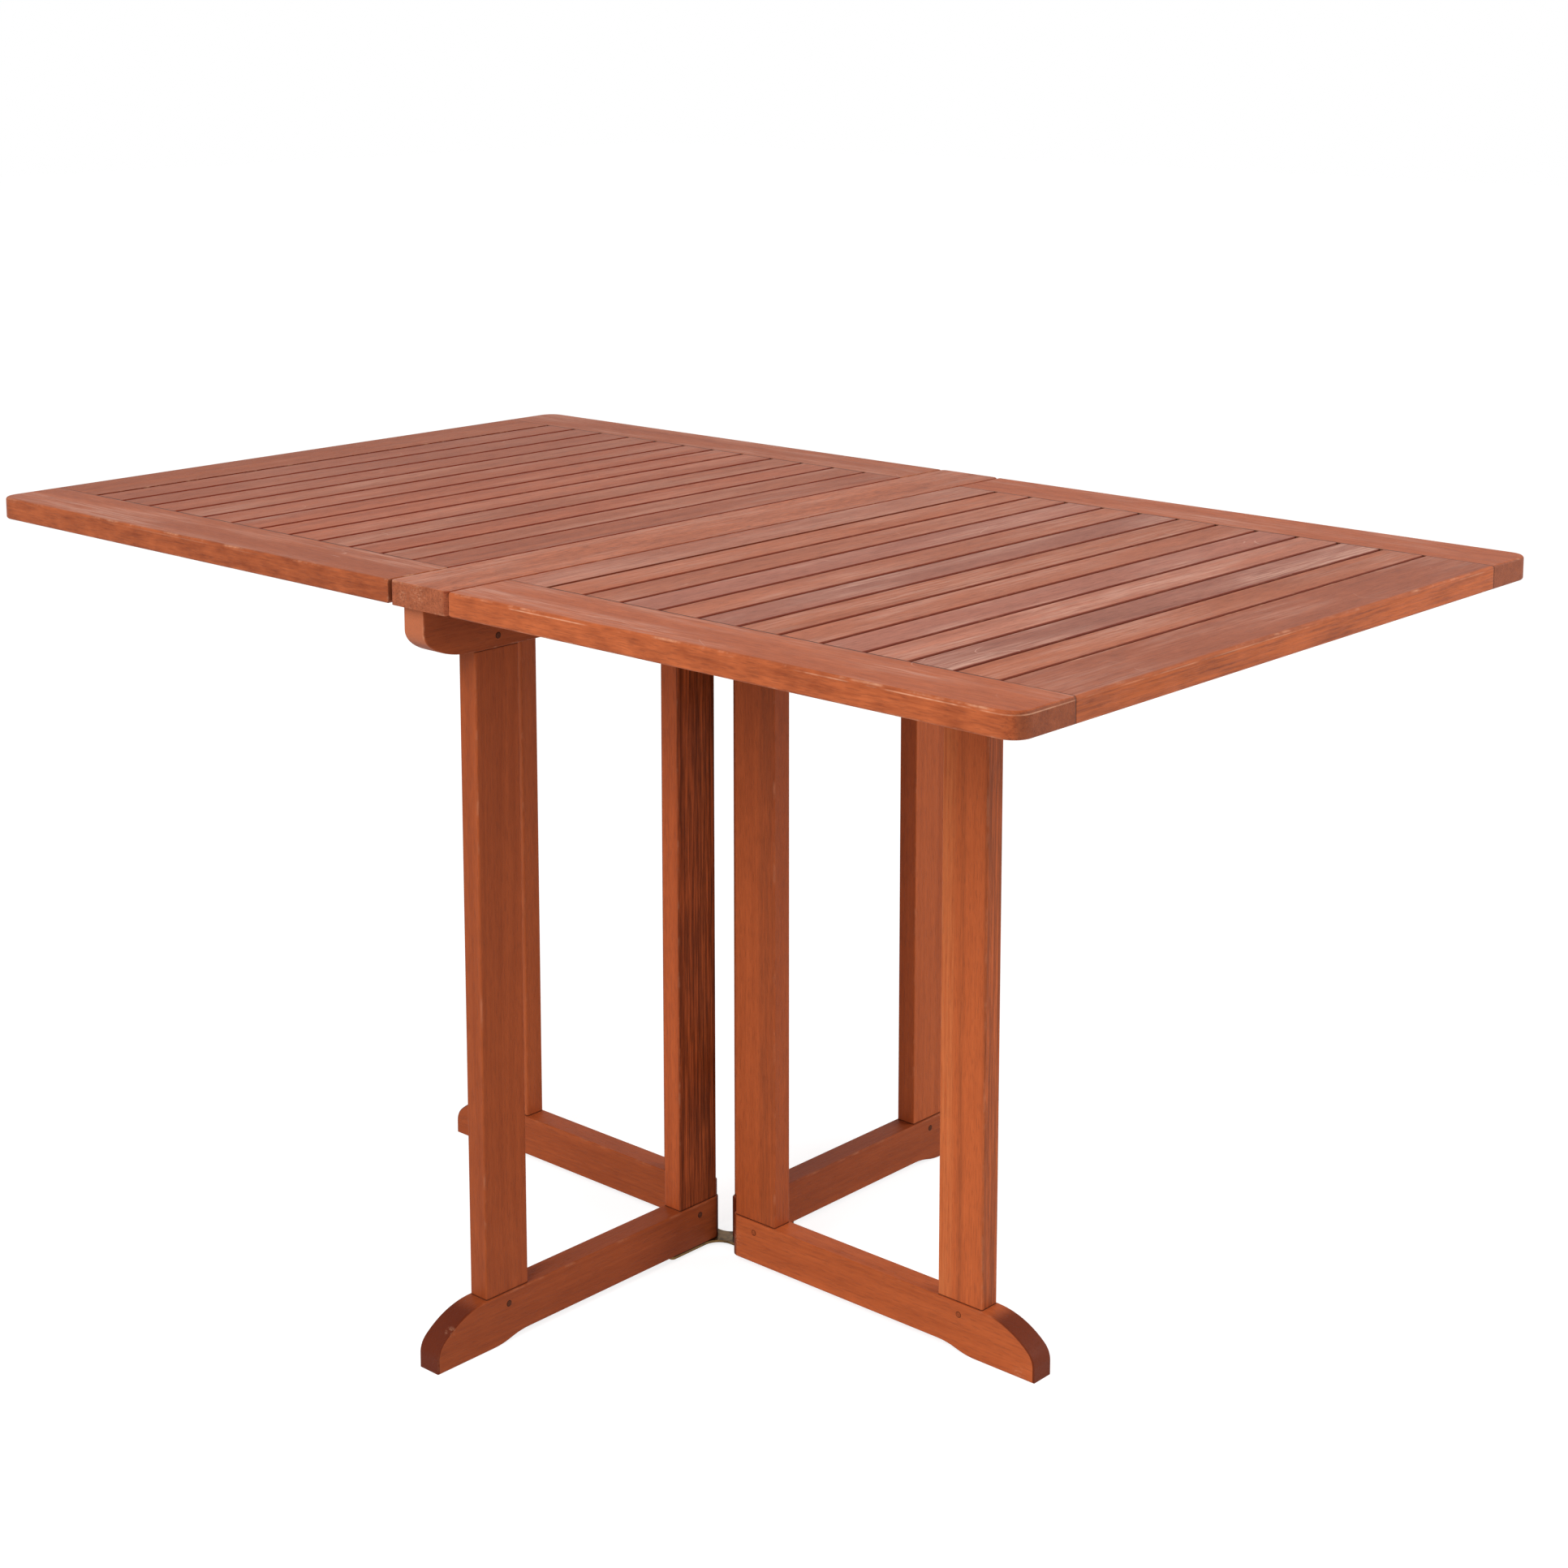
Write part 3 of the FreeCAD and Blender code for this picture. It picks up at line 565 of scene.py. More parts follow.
@dataclass(frozen=True)
class Figure:
    """How strongly each layer of a board's figure shows.

    Attributes:
        rings: growth rings.
        ribbon: broad bands along the grain.
        fibre: long fine lines.
        fleck: short dashes.
        curl: blotches of wavy grain.
        side_curl: more of them on faces that don't face up.
        cloud: slow change of tone.
        pores: dark open pores.
    """

    rings: float = 0.55
    ribbon: float = 0.5
    fibre: float = 0.8
    fleck: float = 0.8
    curl: float = 0.35
    side_curl: float = 0.0
    cloud: float = 0.6
    pores: float = 0.35


class Cut(Enum):
    """How a board was sawn from its log."""

    SLAT = Figure()
    OPEN = Figure(rings=0.45, ribbon=0.4, fibre=0.8, fleck=1.1, curl=0.7, pores=0.6)
    CURLY = Figure(rings=0.4, ribbon=0.3, fibre=0.6, fleck=0.9, curl=0.25, side_curl=1.1, pores=0.25)
    CALM = Figure(rings=0.45, ribbon=0.35, fibre=0.4, fleck=0.35, curl=0.3, cloud=0.5, pores=0.2)
    PLAIN_SAWN = Figure(rings=1.1, ribbon=0.6, fibre=0.55, fleck=0.45, curl=0.4, pores=0.35)


@dataclass(frozen=True)
class Band:
    """A streaked band along a board, measured along the object's X axis; it stands for other wood, and some
    bands paint light and shade on one face.

    Attributes:
        start: where it starts, as a share of the board's size there.
        end: where it ends.
        colour: colour of its streaks.
        strength: how strongly they show.
    """

    start: float
    end: float
    colour: Colour
    strength: float


@dataclass(frozen=True)
class Board:
    """What one wooden node needs for its finish.

    Attributes:
        node: name of the CAD node.
        grain: way its grain runs.
        seed: number that makes its figure its own.
        tone: its colour.
        cut: how it was sawn.
        shade: how light it is, 1 for its tone as it stands.
        shoulder: half the length between its shoulders, in metres.
        side: place of a joint along its side, across the grain from its middle, in metres.
        seam: strength of its joint lines.
        bloom: strength of the pale dry streaks, which on faces that face up also stand in for their pale
            sheen as a painted sheen.
        wear: strength of the worn arrises.
        line: strength of the pale line beside them.
        end_colour: colour of its end grain.
        end_shade: how strongly that shows.
        end_span: how far a face turns along the grain where its end grain starts, and where it is full.
        gaps: darkness of the sides in the gaps between boards, towards -Y and +Y of board space.
        heart: where the tree's heart lay, from the board's middle, in metres.
        scuffs: centres of rubbed spots and their reach, in metres.
        bands: bands of other wood, and of painted light and shade.
    """

    node: str
    grain: Grain
    seed: float
    tone: Tone
    cut: Cut
    shade: float = 1.0
    shoulder: float = FAR_AWAY
    side: float = FAR_AWAY
    seam: float = 0.8
    bloom: float = 0.0
    wear: float = 0.4
    line: float = 0.0
    end_colour: Colour = (0.16, 0.05, 0.025, 1.0)
    end_shade: float = 0.35
    end_span: tuple[float, float] = (0.55, 0.85)
    gaps: tuple[float, float] = (0.0, 0.0)
    heart: Triple = DEEP_HEART
    scuffs: Scuffs = ()
    bands: tuple[Band, ...] = ()


def cad(node: str) -> bpy.types.Object:
    """The Blender object of a CAD node."""
    return bpy.data.objects[node]


def finish_node(node: str, material: bpy.types.Material) -> None:
    """Puts a material on a CAD node."""
    for place in cad(node).material_slots:
        place.material = material
    log.info("dressed %s", node)


def start_material(name: str) -> tuple[bpy.types.Material, Joiner, bpy.types.Node]:
    """Starts a material.

    Args:
        name: its name.

    Returns:
        The material, its joiner and its Principled shader.
    """
    material = bpy.data.materials.new(name)
    material.use_nodes = True
    return material, Joiner(material.node_tree), material.node_tree.nodes["Principled BSDF"]


def set_gloss(shader: bpy.types.Node, refraction: float, gloss: float) -> None:
    """Sets a shader's index of refraction and its level of reflections."""
    shader.inputs["IOR"].default_value = refraction
    shader.inputs["Specular IOR Level"].default_value = gloss


@dataclass(frozen=True)
class OiledWood:
    """Oiled hardwood, satin, a little dry on top.

    Attributes:
        groups: the shared shader groups.
        pore_colour: colour in the pores.
        pale_dry_and_sheen_colour: colour of the dry streaks and scratches, which also paints the top's pale
            sheen.
        worn_colour: colour of worn arrises and rubbed spots.
        line_colour: colour of the pale line beside a worn arris.
        seam_colour: colour of the joint lines.
        scratch_share: how strongly the scratches show in the dry streaks' colour.
        scuff_share: how strongly the rubbed spots show in the worn colour.
        gap_oil_and_shade_colour: colour of oil and dust in the gaps between boards, with painted shade where
            the gap walls get little light.
        gap_from: how far a face turns sideways before it counts as in a gap.
        gap_to: how far for it to count fully.
        gap_high: depth under the top where the gaps are darkest, in metres.
        gap_low: depth where they are lighter again.
        gap_deep_share: how dark they stay below that.
        top_from: how far a face turns up before it starts to look dry.
        top_to: how far for it to be fully dry.
        roughness: roughness of well-oiled wood.
        dry_roughness: roughness where the oil has gone.
        dry_span: dryness at which the wood is fully dry.
        fibre_dryness: how dry the raised fibres are.
        refraction: index of refraction of the oil film.
        gloss: level of its reflections.
        bump_depth: depth of the fibres and pores, in metres.
        bump_strength: strength of the bump.
        fibre_height: height of the fibres, as a share of that depth.
        fleck_height: height of the flecks, as a share of that depth.
        seam_depth: depth of a joint line, in those depths.
    """

    groups: WoodGroups
    pore_colour: Colour = (0.12, 0.03, 0.014, 1.0)
    pale_dry_and_sheen_colour: Colour = (0.6, 0.34, 0.26, 1.0)
    worn_colour: Colour = (0.7, 0.36, 0.22, 1.0)
    line_colour: Colour = (0.8, 0.42, 0.26, 1.0)
    seam_colour: Colour = (0.05, 0.014, 0.008, 1.0)
    scratch_share: float = 0.7
    scuff_share: float = 0.45
    gap_oil_and_shade_colour: Colour = (0.15, 0.013, 0.001, 1.0)
    gap_from: float = 0.06
    gap_to: float = 0.45
    gap_high: float = 1.0 * MM
    gap_low: float = 3.5 * MM
    gap_deep_share: float = 0.5
    top_from: float = 0.75
    top_to: float = 0.97
    roughness: float = 0.52
    dry_roughness: float = 0.68
    dry_span: float = 1.2
    fibre_dryness: float = 0.3
    refraction: float = 1.36
    gloss: float = 0.2
    bump_depth: float = 0.24 * MM
    bump_strength: float = 0.6
    fibre_height: float = 0.6
    fleck_height: float = 0.5
    seam_depth: float = 3.0

    def dress(self, board: Board) -> None:
        """Makes the board's material and puts it on the board's node."""
        finish_node(board.node, BoardMaterial(self, board).build())


class BoardMaterial:
    """One board's material while it is built, one effect over the other."""

    def __init__(self, look: OiledWood, board: Board) -> None:
        """Starts the material, in object space and in board space.

        Args:
            look: the wood's finish.
            board: the board.
        """
        self.look = look
        self.board = board
        self.low, self.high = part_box(board.node)
        self.material, self.join, self.shader = start_material(f"wood_{board.node}")
        surface = self.join.node("ShaderNodeTexCoord").outputs
        self.place = surface["Object"]
        self.up = self.join.split(surface["Normal"])[2]
        moved = -(Euler(board.grain.value).to_matrix() @ ((self.low + self.high) / 2))
        self.in_board = self.turned("POINT", self.place, location=moved)
        self.along, self.across, _ = self.join.split(self.turned("NORMAL", surface["Normal"]))
        self.figure = look.groups.figure.place(
            self.join, place=self.in_board, seed=board.seed, heart=board.heart
        )
        self.colour = self.tint()

    def turned(self, kind: str, vector: Socket, **moved: Vector) -> Socket:
        """Turns a vector so that the grain lies along X.

        Args:
            kind: Blender's name of the mapping's type.
            vector: the vector.
            moved: the location, which is added to a place after the turn.

        Returns:
            The turned vector's socket.
        """
        made = self.join.node("ShaderNodeMapping", vector_type=kind)
        self.join.fill(made, vector=vector, rotation=self.board.grain.value, **moved)
        return made.outputs["Vector"]

    def cover(self, share: Socket, colour: Colour) -> None:
        """Lays another colour over the board's by a share."""
        self.colour = self.join.blend(share, self.colour, colour)

    def tint(self) -> Socket:
        """The board's own colour, from its tone and figure.

        Returns:
            The colour's socket.
        """
        join, cut, figure = self.join, self.board.cut.value, self.figure
        swings = [
            join.swing(figure[name.title()], getattr(cut, name))
            for name in ("rings", "ribbon", "fibre", "fleck", "curl", "cloud")
        ]
        if cut.side_curl:
            aside = join.span(self.up, self.look.top_from, self.look.top_to, cut.side_curl, 0.0)
            swings.append(join.times(join.swing(figure["Curl"], 1.0), aside))
        share = join.calc("ADD", join.total(*swings), MIDDLE, clamp=True)
        colour = join.blend(share, *self.board.tone.value.shaded(self.board.shade))
        return join.blend(join.times(figure["Pores"], cut.pores), colour, self.look.pore_colour)

    def add_bands(self) -> None:
        """Lays the board's bands over it: other wood, and painted light and shade."""
        join, board = self.join, self.board
        for number, band in enumerate(board.bands):
            past_low = join.less(join.split(self.place)[0], self.low.x)
            shown = self.look.groups.band.place(
                join, place=self.in_board, seed=board.seed + number, start=band.start, end=band.end,
                across=join.calc("DIVIDE", past_low, self.high.x - self.low.x),
            )
            self.cover(join.times(shown["Band"], band.strength), band.colour)

    def add_end_grain(self) -> None:
        """Shows end grain where a face turns along the grain."""
        turned = self.join.calc("ABSOLUTE", self.along)
        share = self.join.span(turned, *self.board.end_span, 0.0, self.board.end_shade)
        self.cover(share, self.board.end_colour)

    def darken_gaps(self) -> None:
        """Darkens the faces that look into a gap between boards: oil and dust, and painted shade."""
        join, look = self.join, self.look
        minus, plus = self.board.gaps
        # The gap walls are darkest just under the top: oil and dust, and painted shade where little light
        # reaches them.
        towards_plus = join.span(self.across, look.gap_from, look.gap_to, 0.0, plus)
        towards_minus = join.span(self.across, -look.gap_to, -look.gap_from, minus, 0.0)
        below = join.less(self.high.z, join.split(self.place)[2])
        depth = join.span(below, look.gap_high, look.gap_low, 1.0, look.gap_deep_share)
        self.cover(join.times(join.calc("ADD", towards_plus, towards_minus), depth), look.gap_oil_and_shade_colour)

    def weather(self) -> Socket:
        """Adds dry streaks with a painted sheen on the top, scratches, worn arrises and rubbed spots.

        Returns:
            How dry the wood is.
        """
        join, look, board, groups = self.join, self.look, self.board, self.look.groups
        bloom = groups.bloom.place(join, place=self.in_board, seed=board.seed)
        arris = groups.arris.place(
            join, place=self.place, low=tuple(self.low), high=tuple(self.high), seed=board.seed
        )
        # Dry streaks show only on faces that face up, and their strength also paints the top's pale sheen: a
        # painted sheen.
        on_top = join.span(self.up, look.top_from, look.top_to, 0.0, board.bloom)
        dry = join.calc("MULTIPLY", bloom["Streaks"], on_top, clamp=True)
        self.cover(dry, look.pale_dry_and_sheen_colour)
        self.cover(join.times(join.times(bloom["Scratches"], on_top), look.scratch_share), look.pale_dry_and_sheen_colour)
        worn = join.times(arris["Worn"], board.wear)
        for centre, reach in board.scuffs:
            rubbed = groups.scuff.place(join, place=self.place, centre=centre, reach=reach)["Rubbed"]
            worn = join.calc("MAXIMUM", worn, join.times(rubbed, look.scuff_share))
        self.cover(worn, look.worn_colour)
        if board.line:
            aside = join.span(self.up, 0.0, look.top_from, board.line, 0.0)
            self.cover(join.times(arris["Line"], aside), look.line_colour)
        return join.calc("ADD", dry, worn)

    def build(self) -> bpy.types.Material:
        """Adds the effects, the gloss and the relief.

        Returns:
            The material.
        """
        join, look, board, figure = self.join, self.look, self.board, self.figure
        self.add_bands()
        self.add_end_grain()
        if any(board.gaps):
            self.darken_gaps()
        dryness = join.calc("MULTIPLY_ADD", figure["Fibre"], look.fibre_dryness, self.weather())
        ends = {"shoulder": board.shoulder, "side": board.side}
        seam = look.groups.seam.place(join, place=self.in_board, **ends)["Line"]
        self.cover(join.times(seam, board.seam), look.seam_colour)
        height = join.total(
            join.swing(figure["Fibre"], look.fibre_height),
            join.swing(figure["Fleck"], look.fleck_height),
            join.times(figure["Pores"], -1.0),
            join.times(seam, -look.seam_depth),
        )
        join.fill(
            self.shader, base_color=self.colour,
            roughness=join.span(dryness, 0.0, look.dry_span, look.roughness, look.dry_roughness),
            normal=join.bump(look.bump_strength, look.bump_depth, height),
        )
        set_gloss(self.shader, look.refraction, look.gloss)
        return self.material


@dataclass(frozen=True)
class PegWood:
    """End grain of the dowels, dark with oil, with a glue line round it.

    Attributes:
        name: the material's name.
        dark: colour of the darkest wood.
        light: colour of the lightest.
        rim_colour: colour of the glue line.
        rim_span: where the glue line starts and where it is full, as shares of the radius.
        pores: the pores, and the span of their noise that goes from dark to light.
        rough_span: span of their noise that goes from smooth to rough.
        roughness: roughness of the end grain.
        roughening: how much rougher it gets.
        refraction: index of refraction of the oil film.
        gloss: level of its reflections.
        bump_strength: strength of the relief.
        bump_depth: depth of the relief, in metres.
    """

    name: str
    dark: Colour = (0.05, 0.015, 0.008, 1.0)
    light: Colour = (0.14, 0.042, 0.02, 1.0)
    rim_colour: Colour = (0.03, 0.009, 0.005, 1.0)
    rim_span: tuple[float, float] = (0.72, 0.95)
    pores: Layer = Layer((1300.0, 1300.0, 1300.0), 3.0, 0.6, 0.35, 0.65)
    rough_span: tuple[float, float] = (0.3, 0.7)
    roughness: float = 0.7
    roughening: float = 0.15
    refraction: float = 1.36
    gloss: float = 0.15
    bump_strength: float = 0.5
    bump_depth: float = 0.1 * MM

    def make(self) -> bpy.types.Material:
        """Builds the material.

        Returns:
            The material.
        """
        material, join, shader = start_material(self.name)
        spots = self.pores.around(join, join.node("ShaderNodeTexCoord").outputs["Object"])
        colour = join.blend(join.span(spots, self.pores.low, self.pores.high), self.dark, self.light)
        rim = join.node("ShaderNodeAttribute", attribute_name=PegTree.RIM).outputs["Fac"]
        join.fill(
            shader, base_color=join.blend(join.span(rim, *self.rim_span), colour, self.rim_colour),
            roughness=join.span(spots, *self.rough_span, self.roughness, self.roughness + self.roughening),
            normal=join.bump(self.bump_strength, self.bump_depth, spots),
        )
        set_gloss(shader, self.refraction, self.gloss)
        return material


@dataclass(frozen=True)
class PlatedSteel:
    """Plated steel with fine drawn lines and dull spots.

    Attributes:
        name: the material's name.
        bright: colour where the plating is clean.
        dull: colour where it has dulled.
        roughness: roughness where it is clean.
        dulling: how much rougher the dull spots are.
        spots: the dull spots.
        drawn: the drawn lines.
        line_strength: strength of the drawn lines.
        line_depth: their depth, in metres.
    """

    name: str
    bright: Colour
    dull: Colour
    roughness: float = 0.4
    dulling: float = 0.06
    spots: Layer = Layer((150.0, 150.0, 150.0), 4.0, 0.6, 0.42, 0.7)
    drawn: Layer = Layer((1400.0, 60.0, 1400.0), 3.0, 0.6)
    line_strength: float = 0.25
    line_depth: float = 0.05 * MM

    def make(self) -> bpy.types.Material:
        """Builds the material.

        Returns:
            The material.
        """
        material, join, shader = start_material(self.name)
        place = join.node("ShaderNodeTexCoord").outputs["Object"]
        spots = join.span(self.spots.around(join, place), self.spots.low, self.spots.high)
        join.fill(
            shader, base_color=join.blend(spots, self.bright, self.dull), metallic=1.0,
            roughness=join.span(spots, 0.0, 1.0, self.roughness, self.roughness + self.dulling),
            normal=join.bump(self.line_strength, self.line_depth, self.drawn.around(join, place)),
        )
        return material


@dataclass(frozen=True)
class Spot:
    """Where a peg or a screw sits.

    Attributes:
        place: its middle, or its head's face, in metres.
        facing: way its head looks.
    """

    place: Triple
    facing: Triple

    def turned(self) -> "Spot":
        """Turns the spot half a turn about the vertical.

        Returns:
            The same spot on the table's other half.
        """
        x, y, z = self.place
        a, b, c = self.facing
        return Spot((-x, -y, z), (-a, -b, c))


def both_halves(spots: list[Spot]) -> list[Spot]:
    """The spots, and those of the table's other half."""
    return spots + [spot.turned() for spot in spots]


class Repeater:
    """A geometry tree that sets one shape on many points, each turned along the point's facing."""

    FACING = "facing"
    FULL_TURN = 2 * math.pi

    def __init__(self, name: str, sizes: dict[str, float]) -> None:
        """Builds the tree.

        Args:
            name: the tree's name.
            sizes: default of each size, by its input's name.
        """
        self.tree = bpy.data.node_groups.new(name, "GeometryNodeTree")
        add = self.tree.interface.new_socket
        add(name="Points", in_out="INPUT", socket_type="NodeSocketGeometry")
        for label, value in sizes.items():
            add(name=label, in_out="INPUT", socket_type="NodeSocketFloat").default_value = value
        add(name="Seed", in_out="INPUT", socket_type="NodeSocketInt")
        add(name="Finish", in_out="INPUT", socket_type="NodeSocketMaterial")
        add(name="Geometry", in_out="OUTPUT", socket_type="NodeSocketGeometry")
        self.join = Joiner(self.tree)
        self.inputs = self.join.node("NodeGroupInput").outputs
        self.repeat(self.shape())

    def shape(self) -> Socket:
        """Builds the shape that is repeated, its head's face at the origin, looking along Z.

        Returns:
            The geometry's socket.
        """
        raise NotImplementedError

    def repeat(self, shape: Socket) -> None:
        """Sets the shape on the points, makes it plain mesh and gives it its finish.

        Args:
            shape: geometry to repeat.
        """
        join = self.join
        facing = join.node("GeometryNodeInputNamedAttribute", data_type="FLOAT_VECTOR")
        join.fill(facing, name=self.FACING)
        align = join.node("FunctionNodeAlignRotationToVector", axis="Z")
        join.fill(align, vector=facing.outputs["Attribute"])
        chance = join.node("FunctionNodeRandomValue", data_type="FLOAT")
        numbers = [socket for socket in chance.inputs if socket.type == "VALUE"]
        limits = [socket for socket in numbers if socket.name in ("Min", "Max")]
        for socket, limit in zip(limits, (0.0, self.FULL_TURN)):
            join.feed(socket, limit)
        join.feed(chance.inputs["Seed"], self.inputs["Seed"])
        angle = next(socket for socket in chance.outputs if socket.type == "VALUE")
        spin = join.filled("FunctionNodeAxisAngleToRotation", axis=UP, angle=angle).outputs[0]
        turn = join.apply("FunctionNodeRotateRotation", align.outputs[0], spin, rotation_space="LOCAL")
        spread = join.filled(
            "GeometryNodeInstanceOnPoints",
            points=self.inputs["Points"], instance=shape, rotation=turn.outputs[0],
        )
        real = join.filled("GeometryNodeRealizeInstances", geometry=spread.outputs[0]).outputs[0]
        dressed = join.filled("GeometryNodeSetMaterial", geometry=real, material=self.inputs["Finish"])
        join.feed(join.node("NodeGroupOutput").inputs["Geometry"], dressed.outputs[0])

    def moved(self, geometry: Socket, height: object) -> Socket:
        """Moves a geometry along Z."""
        move = self.join.triple(0.0, 0.0, height)
        return self.join.filled("GeometryNodeTransform", geometry=geometry, translation=move).outputs[0]

    def lay(
        self, name: str, spots: list[Spot], finish: bpy.types.Material, sizes: dict[str, float]
    ) -> bpy.types.Object:
        """Makes one piece with the shape on every spot.

        Args:
            name: the piece's name.
            spots: where the shapes sit.
            finish: their material.
            sizes: their sizes, by input name.

        Returns:
            The piece, a plain mesh at the origin.
        """
        points = bpy.data.meshes.new(name + "_points")
        points.from_pydata([spot.place for spot in spots], [], [])
        facing = points.attributes.new(self.FACING, "FLOAT_VECTOR", "POINT")
        for item, spot in zip(facing.data, spots):
            item.vector = spot.facing
        piece = bpy.data.objects.new(name, points)
        bpy.context.scene.collection.objects.link(piece)
        modifier = piece.modifiers.new("repeat", "NODES")
        modifier.node_group = self.tree
        values = {**sizes, "Seed": len(spots), "Finish": finish}
        for socket in self.tree.interface.items_tree:
            if socket.in_out == "INPUT" and socket.name in values:
                modifier[socket.identifier] = values[socket.name]
        settled = bpy.data.meshes.new_from_object(piece.evaluated_get(bpy.context.evaluated_depsgraph_get()))
        piece.modifiers.clear()
        piece.data = settled
        settled.name = name
        return piece


class PegTree(Repeater):
    """Dowel with slightly domed ends, its middle at the point."""

    RIM = "rim"
    DOME_POWER = 4.0

    def shape(self) -> Socket:
        """Builds one dowel.

        Returns:
            The geometry's socket.
        """
        join = self.join
        radius = self.inputs["Radius"]
        dowel = join.filled(
            "GeometryNodeMeshCylinder", vertices=24, side_segments=1, fill_segments=4,
            radius=radius, depth=join.times(self.inputs["Half Length"], TWICE),
        )
        x, y, z = join.split(join.node("GeometryNodeInputPosition").outputs[0])
        rim = join.calc("DIVIDE", join.vector("LENGTH", join.triple(x, y, 0.0)), radius)
        kept = join.node("GeometryNodeStoreNamedAttribute", data_type="FLOAT", domain="POINT")
        join.fill(kept, geometry=dowel.outputs["Mesh"], name=self.RIM, value=rim)
        drop = join.times(join.calc("POWER", rim, self.DOME_POWER), self.inputs["Dome"])
        down = join.triple(0.0, 0.0, join.times(join.calc("SIGN", z), join.times(drop, -1.0)))
        domed = join.filled("GeometryNodeSetPosition", geometry=kept.outputs[0], offset=down)
        return join.filled("GeometryNodeSetShadeSmooth", geometry=domed.outputs[0]).outputs[0]


class ScrewTree(Repeater):
    """Countersunk screw with a cross recess, its head's face at the point."""

    THREAD_SHARE = 0.94

    def shape(self) -> Socket:
        """Builds one screw.

        Returns:
            The geometry's socket.
        """
        join = self.join
        height, length = self.inputs["Head Height"], self.inputs["Length"]
        plain = {"side_segments": 1, "fill_segments": 1}
        head = join.filled(
            "GeometryNodeMeshCone", vertices=32, depth=height, **plain,
            radius_top=self.inputs["Head Radius"], radius_bottom=self.inputs["Shank Radius"],
        )
        shank_length = join.calc("MULTIPLY_ADD", height, -MIDDLE, length)
        shank_radius = join.times(self.inputs["Shank Radius"], self.THREAD_SHARE)
        shank = join.filled(
            "GeometryNodeMeshCylinder", vertices=16, radius=shank_radius, depth=shank_length, **plain
        )
        shank_middle = join.less(join.times(shank_length, MIDDLE), length)
        whole = join.node("GeometryNodeMeshBoolean", operation="UNION")
        for part, middle in ((head, join.times(height, -1.0)), (shank, shank_middle)):
            join.feed(whole.inputs["Mesh 2"], self.moved(part.outputs["Mesh"], middle))
        recessed = join.node("GeometryNodeMeshBoolean", operation="DIFFERENCE")
        join.feed(recessed.inputs["Mesh 1"], whole.outputs["Mesh"])
        reach, depth = (join.times(self.inputs[name], TWICE) for name in ("Slot Reach", "Slot Depth"))
        width = self.inputs["Slot Width"]
        for size in (join.triple(reach, width, depth), join.triple(width, reach, depth)):
            arm = join.filled("GeometryNodeMeshCube", size=size)
            join.feed(recessed.inputs["Mesh 2"], arm.outputs["Mesh"])
        return recessed.outputs["Mesh"]


@dataclass
class Pegs:
    """Dowels through the stands' and gates' joints.

    Attributes:
        radius: a dowel's radius.
        half_length: half its length, a little more than half a board's thickness.
        dome: height of its domed ends.
        along: places along a stand, from its inner end.
        heights: places up it.
        fixed_x: middle of the rear stand's thickness.
        fixed_start: inner end of the rear stand, along Y.
        gate_y: middle of the right gate's thickness.
        gate_start: inner end of the right gate, along X.
    """

    radius: float = 3.0 * MM
    half_length: float = 13.3 * MM
    dome: float = 0.25 * MM
    along: tuple[float, float] = (31.5 * MM, 288.0 * MM)
    heights: tuple[float, float] = (38.0 * MM, 674.0 * MM)
    fixed_x: float = 17.0 * MM
    fixed_start: float = 1.0 * MM
    gate_y: float = -14.0 * MM
    gate_start: float = 32.0 * MM

    def build(self, fixed_finish: bpy.types.Material, gate_finish: bpy.types.Material) -> None:
        """Makes the dowels, one piece for each body.

        Args:
            fixed_finish: material of the fixed stands' dowels.
            gate_finish: material of the gates' dowels.
        """
        sizes = {"Radius": self.radius, "Half Length": self.half_length, "Dome": self.dome}
        tree = PegTree("domed_pegs", sizes)
        joints = [(along, height) for along in self.along for height in self.heights]
        fixed = [Spot((self.fixed_x, self.fixed_start + along, height), RIGHT) for along, height in joints]
        gate = [Spot((self.gate_start + along, self.gate_y, height), FRONT) for along, height in joints]
        for name, body, spots, finish in (
            ("fixed_stand", "fixed_base", both_halves(fixed), fixed_finish),
            ("right_gate", "right_gate", gate, gate_finish),
            ("left_gate", "left_gate", [spot.turned() for spot in gate], gate_finish),
        ):
            piece = tree.lay(f"{name}_dowels", spots, finish, sizes)
            settle(piece, body, f"{name}_pegs")


def settle(piece: bpy.types.Object, body: str, node: str) -> None:
    """Makes a piece ride on its body in a CAD node's place.

    Args:
        piece: the piece.
        body: the body that carries it.
        node: the CAD node that it stands for.
    """
    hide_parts(node)
    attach(piece, body)
    log.info("made %s, %d faces, for %s", piece.name, len(piece.data.polygons), node)


class ScrewSize(Enum):
    """Sizes of the screws, in millimetres and in the order of their labels."""

    HINGE = (3.4, 1.8, 1.7, 14.0, 1.9, 0.8, 1.1)
    FRAME = (4.6, 3.0, 2.5, 42.0, 2.6, 1.1, 1.6)

    def sizes(self) -> dict[str, float]:
        """The sizes in metres, by input name."""
        labels = "Head Radius,Head Height,Shank Radius,Length,Slot Reach,Slot Width,Slot Depth".split(",")
        return {label: size * MM for label, size in zip(labels, self.value)}


